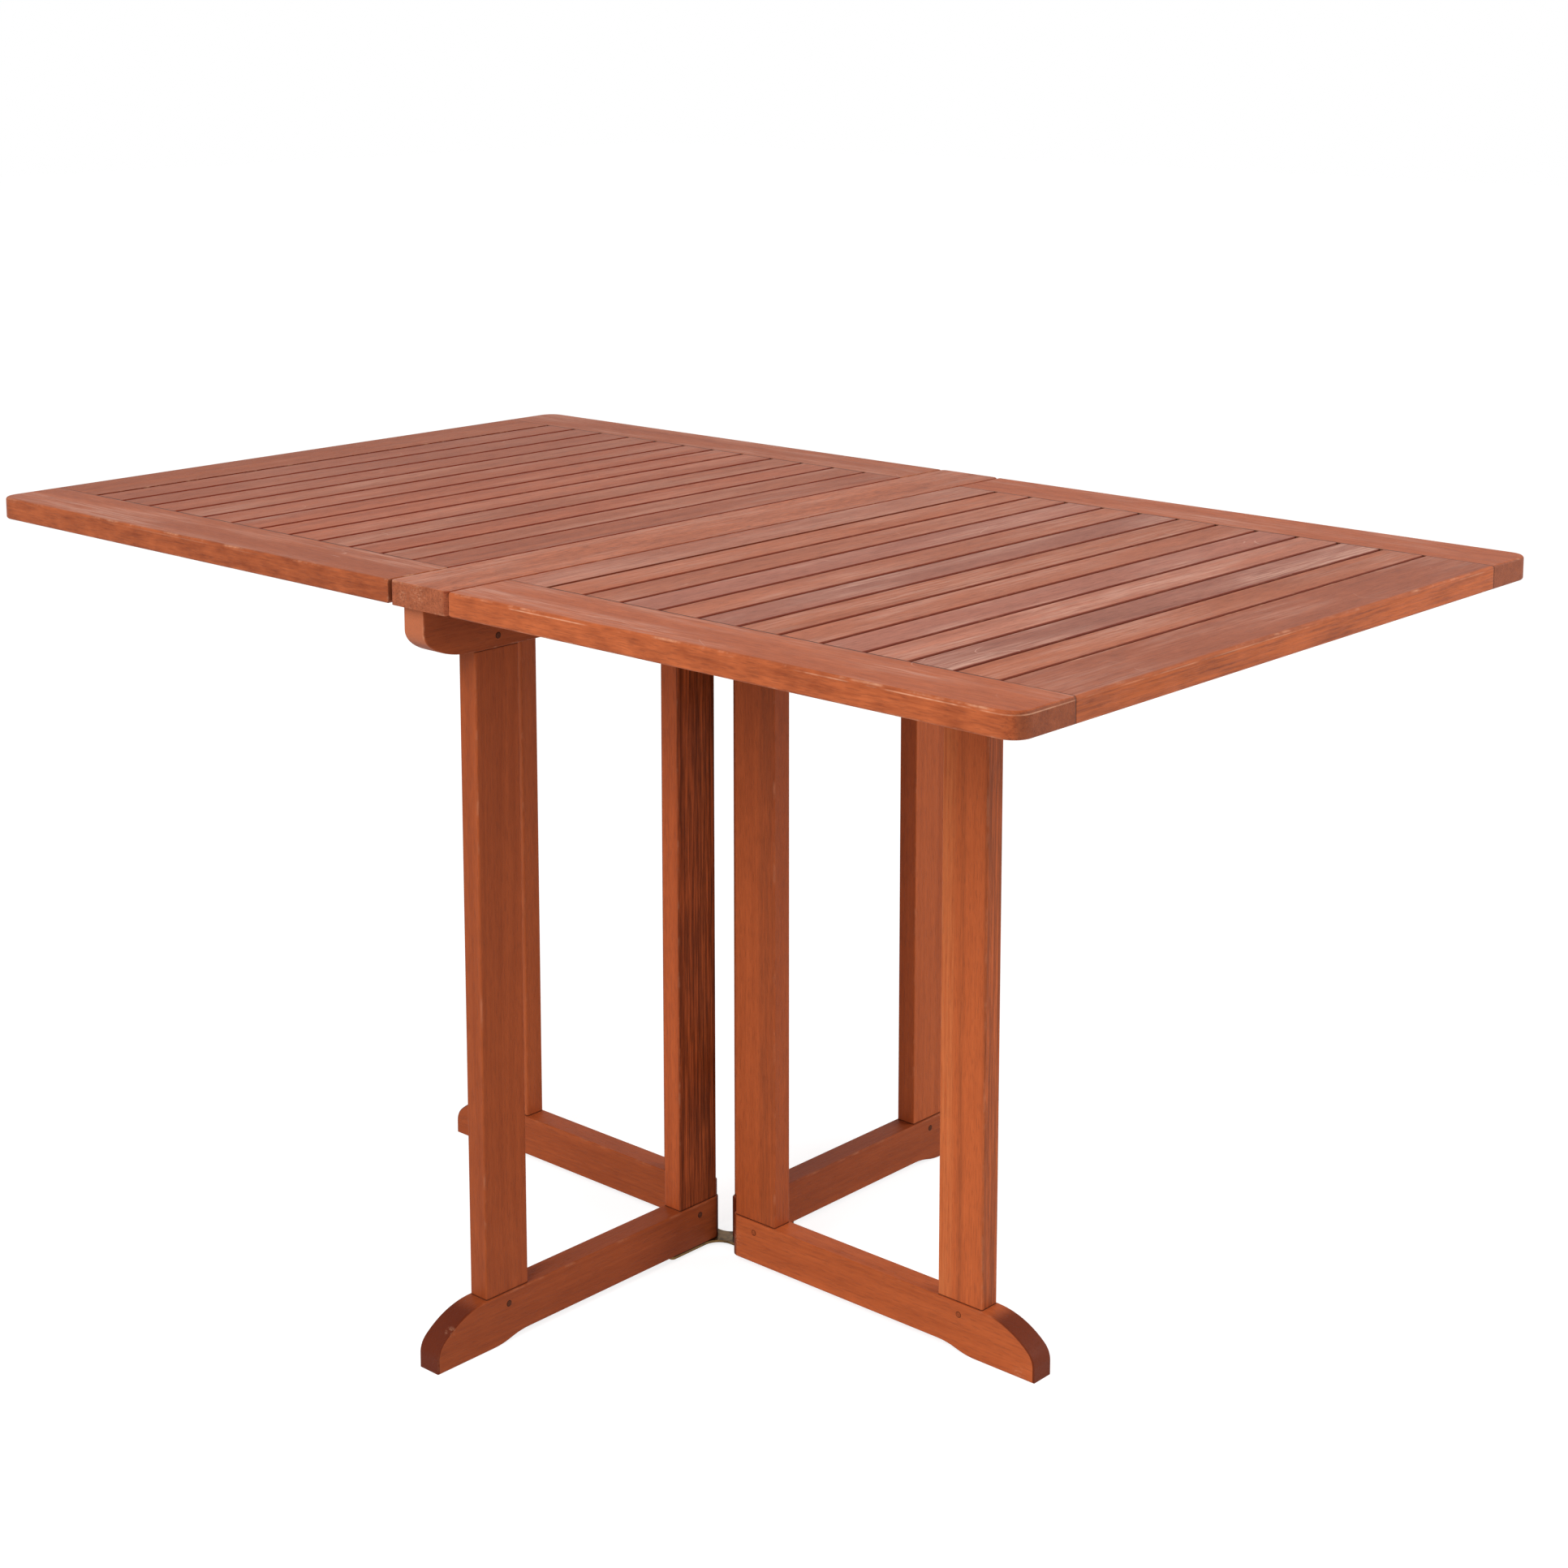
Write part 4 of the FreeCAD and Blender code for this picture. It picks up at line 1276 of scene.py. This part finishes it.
@dataclass
class Ironwork:
    """Hinge flaps, their screws, and the screws of the frame and the tie plate.

    Attributes:
        screw_spread: places of a flap's screws along it.
        leaf_hinge_y: places of the leaf hinges along the board.
        leaf_face: height of the flaps' faces under the top.
        leaf_screw_x: places of the leaf's and the board's screws across it.
        gate_hinge_heights: heights of the gate hinges.
        gate_screw: place of a moving flap's screws on the right gate.
        stand_screw: place of a fixed flap's screws on the rear stand.
        fixed_x: middle of the rear stand's thickness.
        plate_screw_y: places of the tie plate's screws.
        plate_face: height of the tie plate's lower face.
        frame_screw_y: places of the screws that hold the board.
        frame_face: height of their heads.
        screw_width: most that a screw measures across, which tells it from a flap.
        crease: angle from which an edge stays sharp.
        weld: distance within which corners are one.
    """

    screw_spread: tuple[float, ...] = (-20.0 * MM, 0.0, 20.0 * MM)
    leaf_hinge_y: tuple[float, ...] = (-250.0 * MM, 250.0 * MM)
    leaf_face: float = 713.0 * MM
    leaf_screw_x: tuple[float, float] = (56.0 * MM, 22.0 * MM)
    gate_hinge_heights: tuple[float, ...] = (190.0 * MM, 575.0 * MM)
    gate_screw: tuple[float, float] = (48.0 * MM, -1.5 * MM)
    stand_screw: tuple[float, float] = (29.5 * MM, 17.0 * MM)
    fixed_x: float = 17.0 * MM
    plate_screw_y: tuple[float, ...] = (28.0 * MM, 58.0 * MM)
    plate_face: float = 3.5 * MM
    frame_screw_y: tuple[float, ...] = (101.0 * MM, 335.0 * MM)
    frame_face: float = 685.0 * MM
    screw_width: float = 8.0 * MM
    crease: float = math.radians(35.0)
    weld: float = 0.01 * MM

    def build(self, steel: bpy.types.Material) -> None:
        """Makes the screws and the moving flaps.

        Args:
            steel: their material.
        """
        hinge_sizes, frame_sizes = ScrewSize.HINGE.sizes(), ScrewSize.FRAME.sizes()
        tree = ScrewTree("cross_screws", hinge_sizes)
        leaf, board = (
            [Spot((x, y, self.leaf_face), DOWN) for y in self.spread(self.leaf_hinge_y)]
            for x in self.leaf_screw_x
        )
        gate, stand = (
            [Spot((*place, z), facing) for z in self.spread(self.gate_hinge_heights)]
            for place, facing in ((self.gate_screw, BACK), (self.stand_screw, RIGHT))
        )
        plate = [Spot((self.fixed_x, y, self.plate_face), DOWN) for y in self.plate_screw_y]
        frame = [Spot((self.fixed_x, y, self.frame_face), DOWN) for y in self.frame_screw_y]
        for name, node, spots, sizes in (
            ("fixed_flap_screws", "fixed_hinge_screws", board + stand, hinge_sizes),
            ("plate_screws", "tie_plate_screws", plate, hinge_sizes),
            ("board_screws", "frame_screws", frame, frame_sizes),
        ):
            piece = tree.lay(name, both_halves(spots), steel, sizes)
            settle(piece, "fixed_base", node)
        for body, spots in (
            ("right_leaf", leaf),
            ("left_leaf", [spot.turned() for spot in leaf]),
            ("right_gate", gate),
            ("left_gate", [spot.turned() for spot in gate]),
        ):
            node = f"{body}_hinge_hardware"
            piece = tree.lay(f"{body}_hinges", spots, steel, hinge_sizes)
            self.add_flaps(piece, node)
            settle(piece, body, node)

    def spread(self, hinges: tuple[float, ...]) -> list[float]:
        """Places of the screws of hinges at some places."""
        return [hinge + step for hinge in hinges for step in self.screw_spread]

    def add_flaps(self, piece: bpy.types.Object, node: str) -> None:
        """Adds a CAD node's flaps to a piece, without the node's plain screws.

        Args:
            piece: the piece, which has the detailed screws.
            node: the CAD node.
        """
        flaps = bmesh.new()
        flaps.from_mesh(cad(node).data)
        bmesh.ops.remove_doubles(flaps, verts=flaps.verts, dist=self.weld)
        for part in loose_parts(flaps):
            spans = sorted(max(places) - min(places) for places in zip(*(vert.co for vert in part)))
            if spans[1] < self.screw_width:
                bmesh.ops.delete(flaps, geom=part, context="VERTS")
        for face in flaps.faces:
            face.material_index = 0
            face.smooth = True
        for edge in flaps.edges:
            edge.smooth = edge.calc_face_angle(math.pi) < self.crease
        flaps.from_mesh(piece.data)
        flaps.to_mesh(piece.data)
        flaps.free()


def loose_parts(shape: bmesh.types.BMesh) -> list[list[bmesh.types.BMVert]]:
    """Groups a mesh's vertices into the parts that hang together.

    Args:
        shape: the mesh.

    Returns:
        One list of vertices for each part.
    """
    left = set(shape.verts)
    parts = []
    while left:
        waiting = [left.pop()]
        part = []
        while waiting:
            vert = waiting.pop()
            part.append(vert)
            others = {edge.other_vert(vert) for edge in vert.link_edges} & left
            left -= others
            waiting.extend(others)
        parts.append(part)
    return parts


@dataclass(frozen=True)
class SlatLook:
    """Look of one slat or stile.

    Attributes:
        tone: its colour.
        shade: how light it is.
        bloom: strength of its dry streaks, which also paint a pale sheen on its top.
    """

    tone: Tone
    shade: float
    bloom: float


@dataclass(frozen=True)
class LeafLook:
    """Look of one leaf.

    Attributes:
        name: start of its nodes' names.
        seed: number that starts its boards.
        slats: its slats' looks, from the board outwards.
        inner: look of the inner stile.
        outer: look of the outer stile.
        rail_shade: how light the rails are.
        rail_line: strength of the worn line along the rails.
        outer_gaps: darkness of the outer stile's sides towards -Y and +Y of board space.
        gap: darkness of the other boards' sides.
        outer_bands: bands laid over the outer stile: other wood, and painted light.
    """

    name: str
    seed: float
    slats: tuple[SlatLook, ...]
    inner: SlatLook
    outer: SlatLook
    rail_shade: float
    rail_line: float
    outer_gaps: tuple[float, float]
    gap: float
    outer_bands: tuple[Band, ...] = ()


def slats(*rows: tuple[Tone, float, float]) -> tuple[SlatLook, ...]:
    """The looks of a leaf's slats, from rows of tone, shade and bloom."""
    return tuple(SlatLook(*row) for row in rows)


RIGHT_LEAF = LeafLook(
    "right_leaf", 10.0,
    slats(
        (Tone.WARM, 0.95, 0.4), (Tone.PLAIN, 0.97, 0.4), (Tone.GREY, 1.1, 0.7), (Tone.PLAIN, 0.99, 0.6),
        (Tone.GREY, 0.95, 0.7), (Tone.WARM, 0.84, 0.5), (Tone.PLAIN, 1.0, 0.5), (Tone.GREY, 1.16, 0.7),
        (Tone.ROSY, 1.06, 0.8), (Tone.GREY, 0.97, 0.95), (Tone.WARM, 0.89, 0.5),
    ),
    inner=SlatLook(Tone.ROSY, 0.94, 0.5), outer=SlatLook(Tone.RUDDY, 0.8, 0.35),
    rail_shade=0.94, rail_line=0.55, outer_gaps=(0.0, 0.85), gap=0.85,
    # This band covers only the outer stile's +X side face and lightens it: painted light.
    outer_bands=(Band(0.99, 1.3, (0.66, 0.15, 0.03, 1.0), 0.8),),
)
# The left leaf's boards are set darker than the right's, most towards its outer edge: partly the wood's own
# tone, partly painted shade where less light falls.
LEFT_LEAF = LeafLook(
    "left_leaf", 40.0,
    slats(
        (Tone.PLAIN, 0.88, 0.5), (Tone.RUDDY, 0.92, 0.35), (Tone.PLAIN, 0.87, 0.4), (Tone.RUDDY, 0.88, 0.35),
        (Tone.RUDDY, 0.95, 0.45), (Tone.RUDDY, 0.9, 0.35), (Tone.RUDDY, 0.86, 0.3), (Tone.PLAIN, 0.885, 0.4),
        (Tone.RUDDY, 0.8, 0.25), (Tone.RUDDY, 0.73, 0.2), (Tone.RUDDY, 0.8, 0.25),
    ),
    inner=SlatLook(Tone.RUDDY, 0.79, 0.4), outer=SlatLook(Tone.EDGE, 0.8, 0.15),
    rail_shade=0.82, rail_line=0.12, outer_gaps=(1.0, 0.0), gap=1.0,
)


@dataclass(frozen=True)
class TableTop:
    """The centre board and the two framed leaves.

    Attributes:
        rail_inner: distance of the rails' inner edges from the middle line.
        rail_half_width: half a rail's width.
        centre_seed: the centre board's seed.
        seed_step: what each slat adds to its leaf's seed.
        stile_seeds: what the inner and the outer stile add to it.
        rail_seeds: what the front and the back rail add to it.
        heart_sway: how far the hearts of the slats' logs lie aside, in metres.
        heart_depth: how deep they lie.
        depth_swing: how fast that depth goes from slat to slat.
        board_heart: where the heart of the centre board's log lay.
        board_gap: darkness of the centre board's sides.
        board_scuffs: rubbed spots on the centre board.
        board_shares: how light the centre board is, and how strongly its effects show.
        slat_shares: how strongly a slat's effects show.
        inner_shares: the same for the inner stile.
        outer_shares: the same for the outer stile.
        rail_shares: the same for the rails.
        leaves: the two leaves.
    """

    rail_inner: float = 0.315
    rail_half_width: float = 0.035
    centre_seed: float = 3.0
    seed_step: float = 1.37
    stile_seeds: tuple[float, float] = (17.0, 18.0)
    rail_seeds: tuple[float, float] = (19.0, 20.0)
    heart_sway: float = 0.03
    heart_depth: float = 0.07
    depth_swing: float = 2.0
    board_heart: Triple = (0.0, 0.02, 0.06)
    board_gap: float = 0.7
    board_scuffs: Scuffs = (((0.0, -0.386, 0.727), 0.012), ((-0.02, -0.386, 0.723), 0.007))
    board_shares: Shares = (("shade", 0.98), ("bloom", 0.45), ("end_shade", 0.3))
    slat_shares: Shares = (("seam", 1.0), ("wear", 0.1))
    inner_shares: Shares = (("seam", 0.35), ("wear", 0.1))
    outer_shares: Shares = (("seam", 0.3), ("wear", 0.5), ("line", 0.3))
    rail_shares: Shares = (("seam", 0.8), ("bloom", 0.6), ("wear", 0.6), ("end_shade", 0.5))
    leaves: tuple[LeafLook, ...] = (RIGHT_LEAF, LEFT_LEAF)

    def boards(self) -> list[Board]:
        """Lists the top's boards with their finishes.

        Returns:
            One entry for each wooden node of the top.
        """
        centre = Board(
            "centre_board", Grain.ALONG_Y, self.centre_seed, Tone.WARM, Cut.OPEN, heart=self.board_heart,
            gaps=(self.board_gap, self.board_gap), scuffs=self.board_scuffs, **dict(self.board_shares),
        )
        return [centre, *(board for look in self.leaves for board in self.leaf(look))]

    def plank(
        self, look: LeafLook, name: str, seed: float, wood: SlatLook, shares: Shares, **rest: object
    ) -> Board:
        """One slat or stile of a leaf.

        Args:
            look: the leaf's look.
            name: the rest of its node's name.
            seed: what it adds to the leaf's seed.
            wood: its own look.
            shares: how strongly its effects show.
            rest: more of its fields, or other values than a slat's.

        Returns:
            The board.
        """
        fields = {"cut": Cut.SLAT, "gaps": (look.gap, look.gap), **dict(shares), **rest}
        return Board(
            f"{look.name}_{name}", Grain.ALONG_Y, look.seed + seed, wood.tone, shade=wood.shade,
            bloom=wood.bloom, shoulder=self.rail_inner, **fields,
        )

    def heart(self, index: int) -> Triple:
        """Where the heart of a slat's log lay."""
        depth = self.heart_depth + self.heart_sway * math.cos(self.depth_swing * index)
        return (0.0, self.heart_sway * math.sin(index), depth)

    def leaf(self, look: LeafLook) -> list[Board]:
        """Lists one leaf's boards.

        Args:
            look: the leaf's look.

        Returns:
            One entry for each of its nodes.
        """
        inner_seed, outer_seed = self.stile_seeds
        found = [
            self.plank(
                look, f"slat_{index + 1:02d}", self.seed_step * index, slat, self.slat_shares,
                heart=self.heart(index),
            )
            for index, slat in enumerate(look.slats)
        ]
        found.append(self.plank(look, "inner_stile", inner_seed, look.inner, self.inner_shares))
        found.append(
            self.plank(
                look, "outer_stile", outer_seed, look.outer, self.outer_shares,
                cut=Cut.CURLY, gaps=look.outer_gaps, bands=look.outer_bands,
            )
        )
        for name, inward, seed in zip(("front", "back"), (1.0, -1.0), self.rail_seeds):
            found.append(
                Board(
                    f"{look.name}_{name}_rail", Grain.ALONG_X, look.seed + seed, Tone.RAIL, Cut.CURLY,
                    look.rail_shade, side=inward * self.rail_half_width, line=look.rail_line,
                    **dict(self.rail_shares),
                )
            )
        return found


@dataclass
class Stand:
    """One stand: foot, top rail and two posts.

    Attributes:
        name: start of its nodes' names.
        grain: way its foot and top rail run.
        seed: number that makes its boards their own.
        inner_post: tone, cut and shade of the inner post.
        outer_post: tone, cut and shade of the outer post.
        foot: tone, cut and shade of the foot.
        rail: tone, cut and shade of the top rail.
        inner_bands: bands laid over the inner post: other wood, and painted shade.
        outer_bands: bands laid over the outer post: other wood, and painted shade.
        foot_scuffs: rubbed spots on the foot.
        shoulder: half a post's length between its shoulders.
        toe_colour: colour of the foot's end grain.
        rail_end_colour: colour of the top rail's end grain.
        foot_end: how far a face of the foot turns where its end grain starts, and where it is full.
        outer_heart: where the heart of the outer post's log lay.
        foot_shares: how strongly the foot's effects show.
        rail_shares: the same for the top rail.
        post_shares: the same for the posts.
    """

    name: str
    grain: Grain
    seed: float
    inner_post: tuple[Tone, Cut, float] = (Tone.DEEP, Cut.PLAIN_SAWN, 1.0)
    outer_post: tuple[Tone, Cut, float] = (Tone.DEEP, Cut.CALM, 1.0)
    foot: tuple[Tone, Cut, float] = (Tone.DEEP, Cut.CALM, 1.0)
    rail: tuple[Tone, Cut, float] = (Tone.DEEP, Cut.CALM, 1.0)
    inner_bands: tuple[Band, ...] = ()
    outer_bands: tuple[Band, ...] = ()
    foot_scuffs: Scuffs = ()
    shoulder: float = 0.307
    toe_colour: Colour = (0.085, 0.009, 0.001, 1.0)
    rail_end_colour: Colour = (0.52, 0.165, 0.075, 1.0)
    foot_end: tuple[float, float] = (0.02, 0.3)
    outer_heart: Triple = (0.0, 0.035, 0.03)
    foot_shares: Shares = (("wear", 0.15), ("end_shade", 0.85))
    rail_shares: Shares = (("end_shade", 0.6),)
    post_shares: Shares = (("wear", 0.15),)

    def boards(self) -> list[Board]:
        """Lists the stand's boards with their finishes.

        Returns:
            One entry for each wooden node of the stand.
        """
        foot = {"end_colour": self.toe_colour, "end_span": self.foot_end, "scuffs": self.foot_scuffs}
        rail = {"end_colour": self.rail_end_colour}
        inner = {"shoulder": self.shoulder, "bands": self.inner_bands}
        outer = {"shoulder": self.shoulder, "bands": self.outer_bands, "heart": self.outer_heart}
        rows = (
            ("foot", self.grain, self.foot, foot, self.foot_shares),
            ("top_rail", self.grain, self.rail, rail, self.rail_shares),
            ("inner_post", Grain.ALONG_Z, self.inner_post, inner, self.post_shares),
            ("outer_post", Grain.ALONG_Z, self.outer_post, outer, self.post_shares),
        )
        return [
            Board(f"{self.name}_{name}", grain, self.seed + number, *wood, **fields, **dict(shares))
            for number, (name, grain, wood, fields, shares) in enumerate(rows)
        ]


@dataclass(frozen=True)
class Lamp:
    """A soft square lamp aimed at the table.

    Attributes:
        name: its name.
        place: where it stands, in metres.
        size: side of its square, in metres.
        power: its power in watts.
    """

    name: str
    place: Triple
    size: float
    power: float

    def hang(self, target: Triple) -> None:
        """Adds the lamp to the scene.

        Args:
            target: where it is aimed, in metres.
        """
        data = bpy.data.lights.new(self.name, "AREA")
        data.size = self.size
        data.energy = self.power
        lamp = bpy.data.objects.new(self.name, data)
        lamp.location = self.place
        lamp.rotation_euler = (Vector(target) - Vector(self.place)).to_track_quat("-Z", "Y").to_euler()
        bpy.context.scene.collection.objects.link(lamp)


@dataclass
class Studio:
    """Pale floor, soft light and the camera.

    Attributes:
        camera_place: where the camera stands, in metres.
        camera_pitch: how far it looks down, in degrees.
        camera_heading: way it looks, in degrees anticlockwise from +Y.
        lens: focal length in millimetres.
        sensor: width of the sensor in millimetres.
        frame_shift: upward shift of the lens, as a share of the frame.
        sky: strength of the even light all round.
        floor_size: side of the floor, in metres.
        floor_colour: colour of the floor for the light.
        catcher_colour: colour of the floor for the camera, where it holds the shadow.
        floor_glow: light that whitens the floor for the camera.
        lamps: the lamps.
        target: where they are aimed, in metres.
    """

    camera_place: Triple = (1.81608, -1.92557, 1.2396)
    camera_pitch: float = 9.042
    camera_heading: float = 42.049
    lens: float = 64.0438
    sensor: float = 36.0
    frame_shift: float = -0.2205
    sky: float = 0.55
    floor_size: float = 30.0
    floor_colour: Colour = (0.78, 0.78, 0.78, 1.0)
    catcher_colour: Colour = (0.34, 0.34, 0.34, 1.0)
    floor_glow: float = 0.82
    lamps: tuple[Lamp, ...] = (
        Lamp("key_lamp", (0.5, -3.2, 2.9), 2.4, 112.0),
        Lamp("side_lamp", (2.6, 2.3, 1.9), 2.4, 68.0),
    )
    target: Triple = (0.0, 0.0, 0.45)

    def build(self) -> None:
        """Sets the camera, the floor, the sky and the lamps."""
        self.set_camera()
        self.set_floor()
        self.set_sky()
        for lamp in self.lamps:
            lamp.hang(self.target)
        bpy.context.scene.view_settings.view_transform = "Standard"

    def set_camera(self) -> None:
        """Adds the camera at the photograph's angle."""
        data = bpy.data.cameras.new("camera")
        data.sensor_width = self.sensor
        data.lens = self.lens
        data.shift_y = self.frame_shift
        camera = bpy.data.objects.new("camera", data)
        camera.location = self.camera_place
        camera.rotation_euler = (
            math.radians(LEVEL_DEGREES - self.camera_pitch), 0.0, math.radians(self.camera_heading)
        )
        bpy.context.scene.collection.objects.link(camera)
        bpy.context.scene.camera = camera

    def set_floor(self) -> None:
        """Adds a white floor that keeps a soft shadow."""
        half = self.floor_size / 2
        mesh = bpy.data.meshes.new("floor")
        corners = [(-half, -half, 0.0), (half, -half, 0.0), (half, half, 0.0), (-half, half, 0.0)]
        mesh.from_pydata(corners, [], [tuple(range(len(corners)))])
        floor = bpy.data.objects.new("floor", mesh)
        bpy.context.scene.collection.objects.link(floor)
        material = bpy.data.materials.new("pale_floor")
        material.use_nodes = True
        join = Joiner(material.node_tree)
        join.tree.nodes.clear()
        output = join.node("ShaderNodeOutputMaterial")
        plain = join.filled("ShaderNodeBsdfDiffuse", color=self.floor_colour).outputs[0]
        catcher = join.filled("ShaderNodeBsdfDiffuse", color=self.catcher_colour).outputs[0]
        glow = join.filled("ShaderNodeEmission", strength=self.floor_glow).outputs[0]
        both = join.apply("ShaderNodeAddShader", catcher, glow).outputs[0]
        choice = join.apply("ShaderNodeMixShader", self.seen_plainly(join), plain, both)
        join.feed(output.inputs["Surface"], choice.outputs[0])
        mesh.materials.append(material)

    def set_sky(self) -> None:
        """Lights the scene evenly, and shows white behind it."""
        world = bpy.data.worlds.new("studio")
        bpy.context.scene.world = world
        world.use_nodes = True
        join = Joiner(world.node_tree)
        join.tree.nodes.clear()
        output = join.node("ShaderNodeOutputWorld")
        strength = join.span(self.seen_plainly(join), 0.0, 1.0, self.sky, 1.0)
        back = join.filled("ShaderNodeBackground", color=WHITE, strength=strength)
        join.feed(output.inputs["Surface"], back.outputs[0])

    @staticmethod
    def seen_plainly(join: Joiner) -> Socket:
        """Is 1 where the camera or a reflection sees the surface.

        Args:
            join: the material's or the world's joiner.

        Returns:
            The number's socket.
        """
        seen = join.node("ShaderNodeLightPath").outputs
        return join.calc(
            "MAXIMUM", join.calc("MAXIMUM", seen["Is Camera Ray"], seen["Is Glossy Ray"]),
            seen["Is Transmission Ray"],
        )


def stands() -> list[Stand]:
    """The two fixed stands and the two gates, with what sets each apart.

    Returns:
        The four stands.
    """
    dark_streak_and_shade = (0.13, 0.034, 0.014, 1.0)
    pale_streak = (0.74, 0.25, 0.085, 1.0)
    shadow = (0.07, 0.012, 0.003, 1.0)
    return [
        Stand(
            "front_stand", Grain.ALONG_Y, 70.0,
            # The inner post is set much lighter so that its end face shows bright: painted light.
            inner_post=(Tone.DEEP, Cut.CALM, 1.42), outer_post=(Tone.DEEP, Cut.CALM, 0.95),
            foot=(Tone.DEEP, Cut.CALM, 0.9), rail=(Tone.DEEP, Cut.CALM, 0.87),
            # This band darkens the inner post's +X face, which the right gate shades: painted shadow.
            inner_bands=(Band(0.94, 1.2, shadow, 0.85),),
            foot_scuffs=(((-0.007, -0.359, 0.035), 0.006),),
        ),
        Stand(
            "rear_stand", Grain.ALONG_Y, 80.0,
            # The outer post is set lighter to make up for light that the parts in front keep off it: painted
            # light.
            outer_post=(Tone.EDGE, Cut.CALM, 1.08), foot=(Tone.DEEP, Cut.CALM, 0.9),
        ),
        Stand(
            "right_gate", Grain.ALONG_X, 90.0,
            # The gate's boards are set lighter to make up for light that the top keeps off them: painted
            # light.
            inner_post=(Tone.DEEP, Cut.CALM, 1.14), outer_post=(Tone.EDGE, Cut.CALM, 1.3),
            foot=(Tone.EDGE, Cut.CALM, 1.2),
            inner_bands=(Band(0.62, 1.0, dark_streak_and_shade, 0.4),),
            outer_bands=(
                Band(-0.1, 0.3, pale_streak, 0.3), Band(0.42, 0.52, dark_streak_and_shade, 0.45),
                # This last band darkens only the outer post's +X end face: painted shade.
                Band(0.97, 1.3, dark_streak_and_shade, 0.8),
            ),
            foot_scuffs=(((0.036, -0.027, 0.026), 0.014), ((0.39, -0.03, 0.003), 0.01)),
        ),
        Stand(
            "left_gate", Grain.ALONG_X, 100.0,
            outer_post=(Tone.EDGE, Cut.CALM, 1.0), foot=(Tone.DEEP, Cut.CALM, 1.08),
        ),
    ]


def main() -> None:
    """Builds the classes in order."""
    logging.basicConfig(level=logging.INFO, format="%(message)s")
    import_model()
    Studio().build()
    wood = OiledWood(WoodGroups())
    for board in TableTop().boards():
        wood.dress(board)
    for stand in stands():
        for board in stand.boards():
            wood.dress(board)
    steel = PlatedSteel("zinc_steel", bright=(0.6, 0.59, 0.57, 1.0), dull=(0.5, 0.49, 0.47, 1.0)).make()
    yellow = PlatedSteel("yellow_zinc", bright=(0.17, 0.095, 0.034, 1.0), dull=(0.07, 0.042, 0.022, 1.0))
    finish_node("fixed_hinge_flaps", steel)
    finish_node("hinge_pins", steel)
    finish_node("tie_plate", yellow.make())
    dark_pegs = PegWood("dark_pegs")
    pale_pegs = PegWood(
        "pale_pegs", dark=(0.2, 0.043, 0.013, 1.0), light=(0.36, 0.085, 0.029, 1.0),
        rim_colour=(0.1, 0.024, 0.008, 1.0),
    )
    Pegs().build(dark_pegs.make(), pale_pegs.make())
    Ironwork().build(steel)


if __name__ == "__main__":
    main()
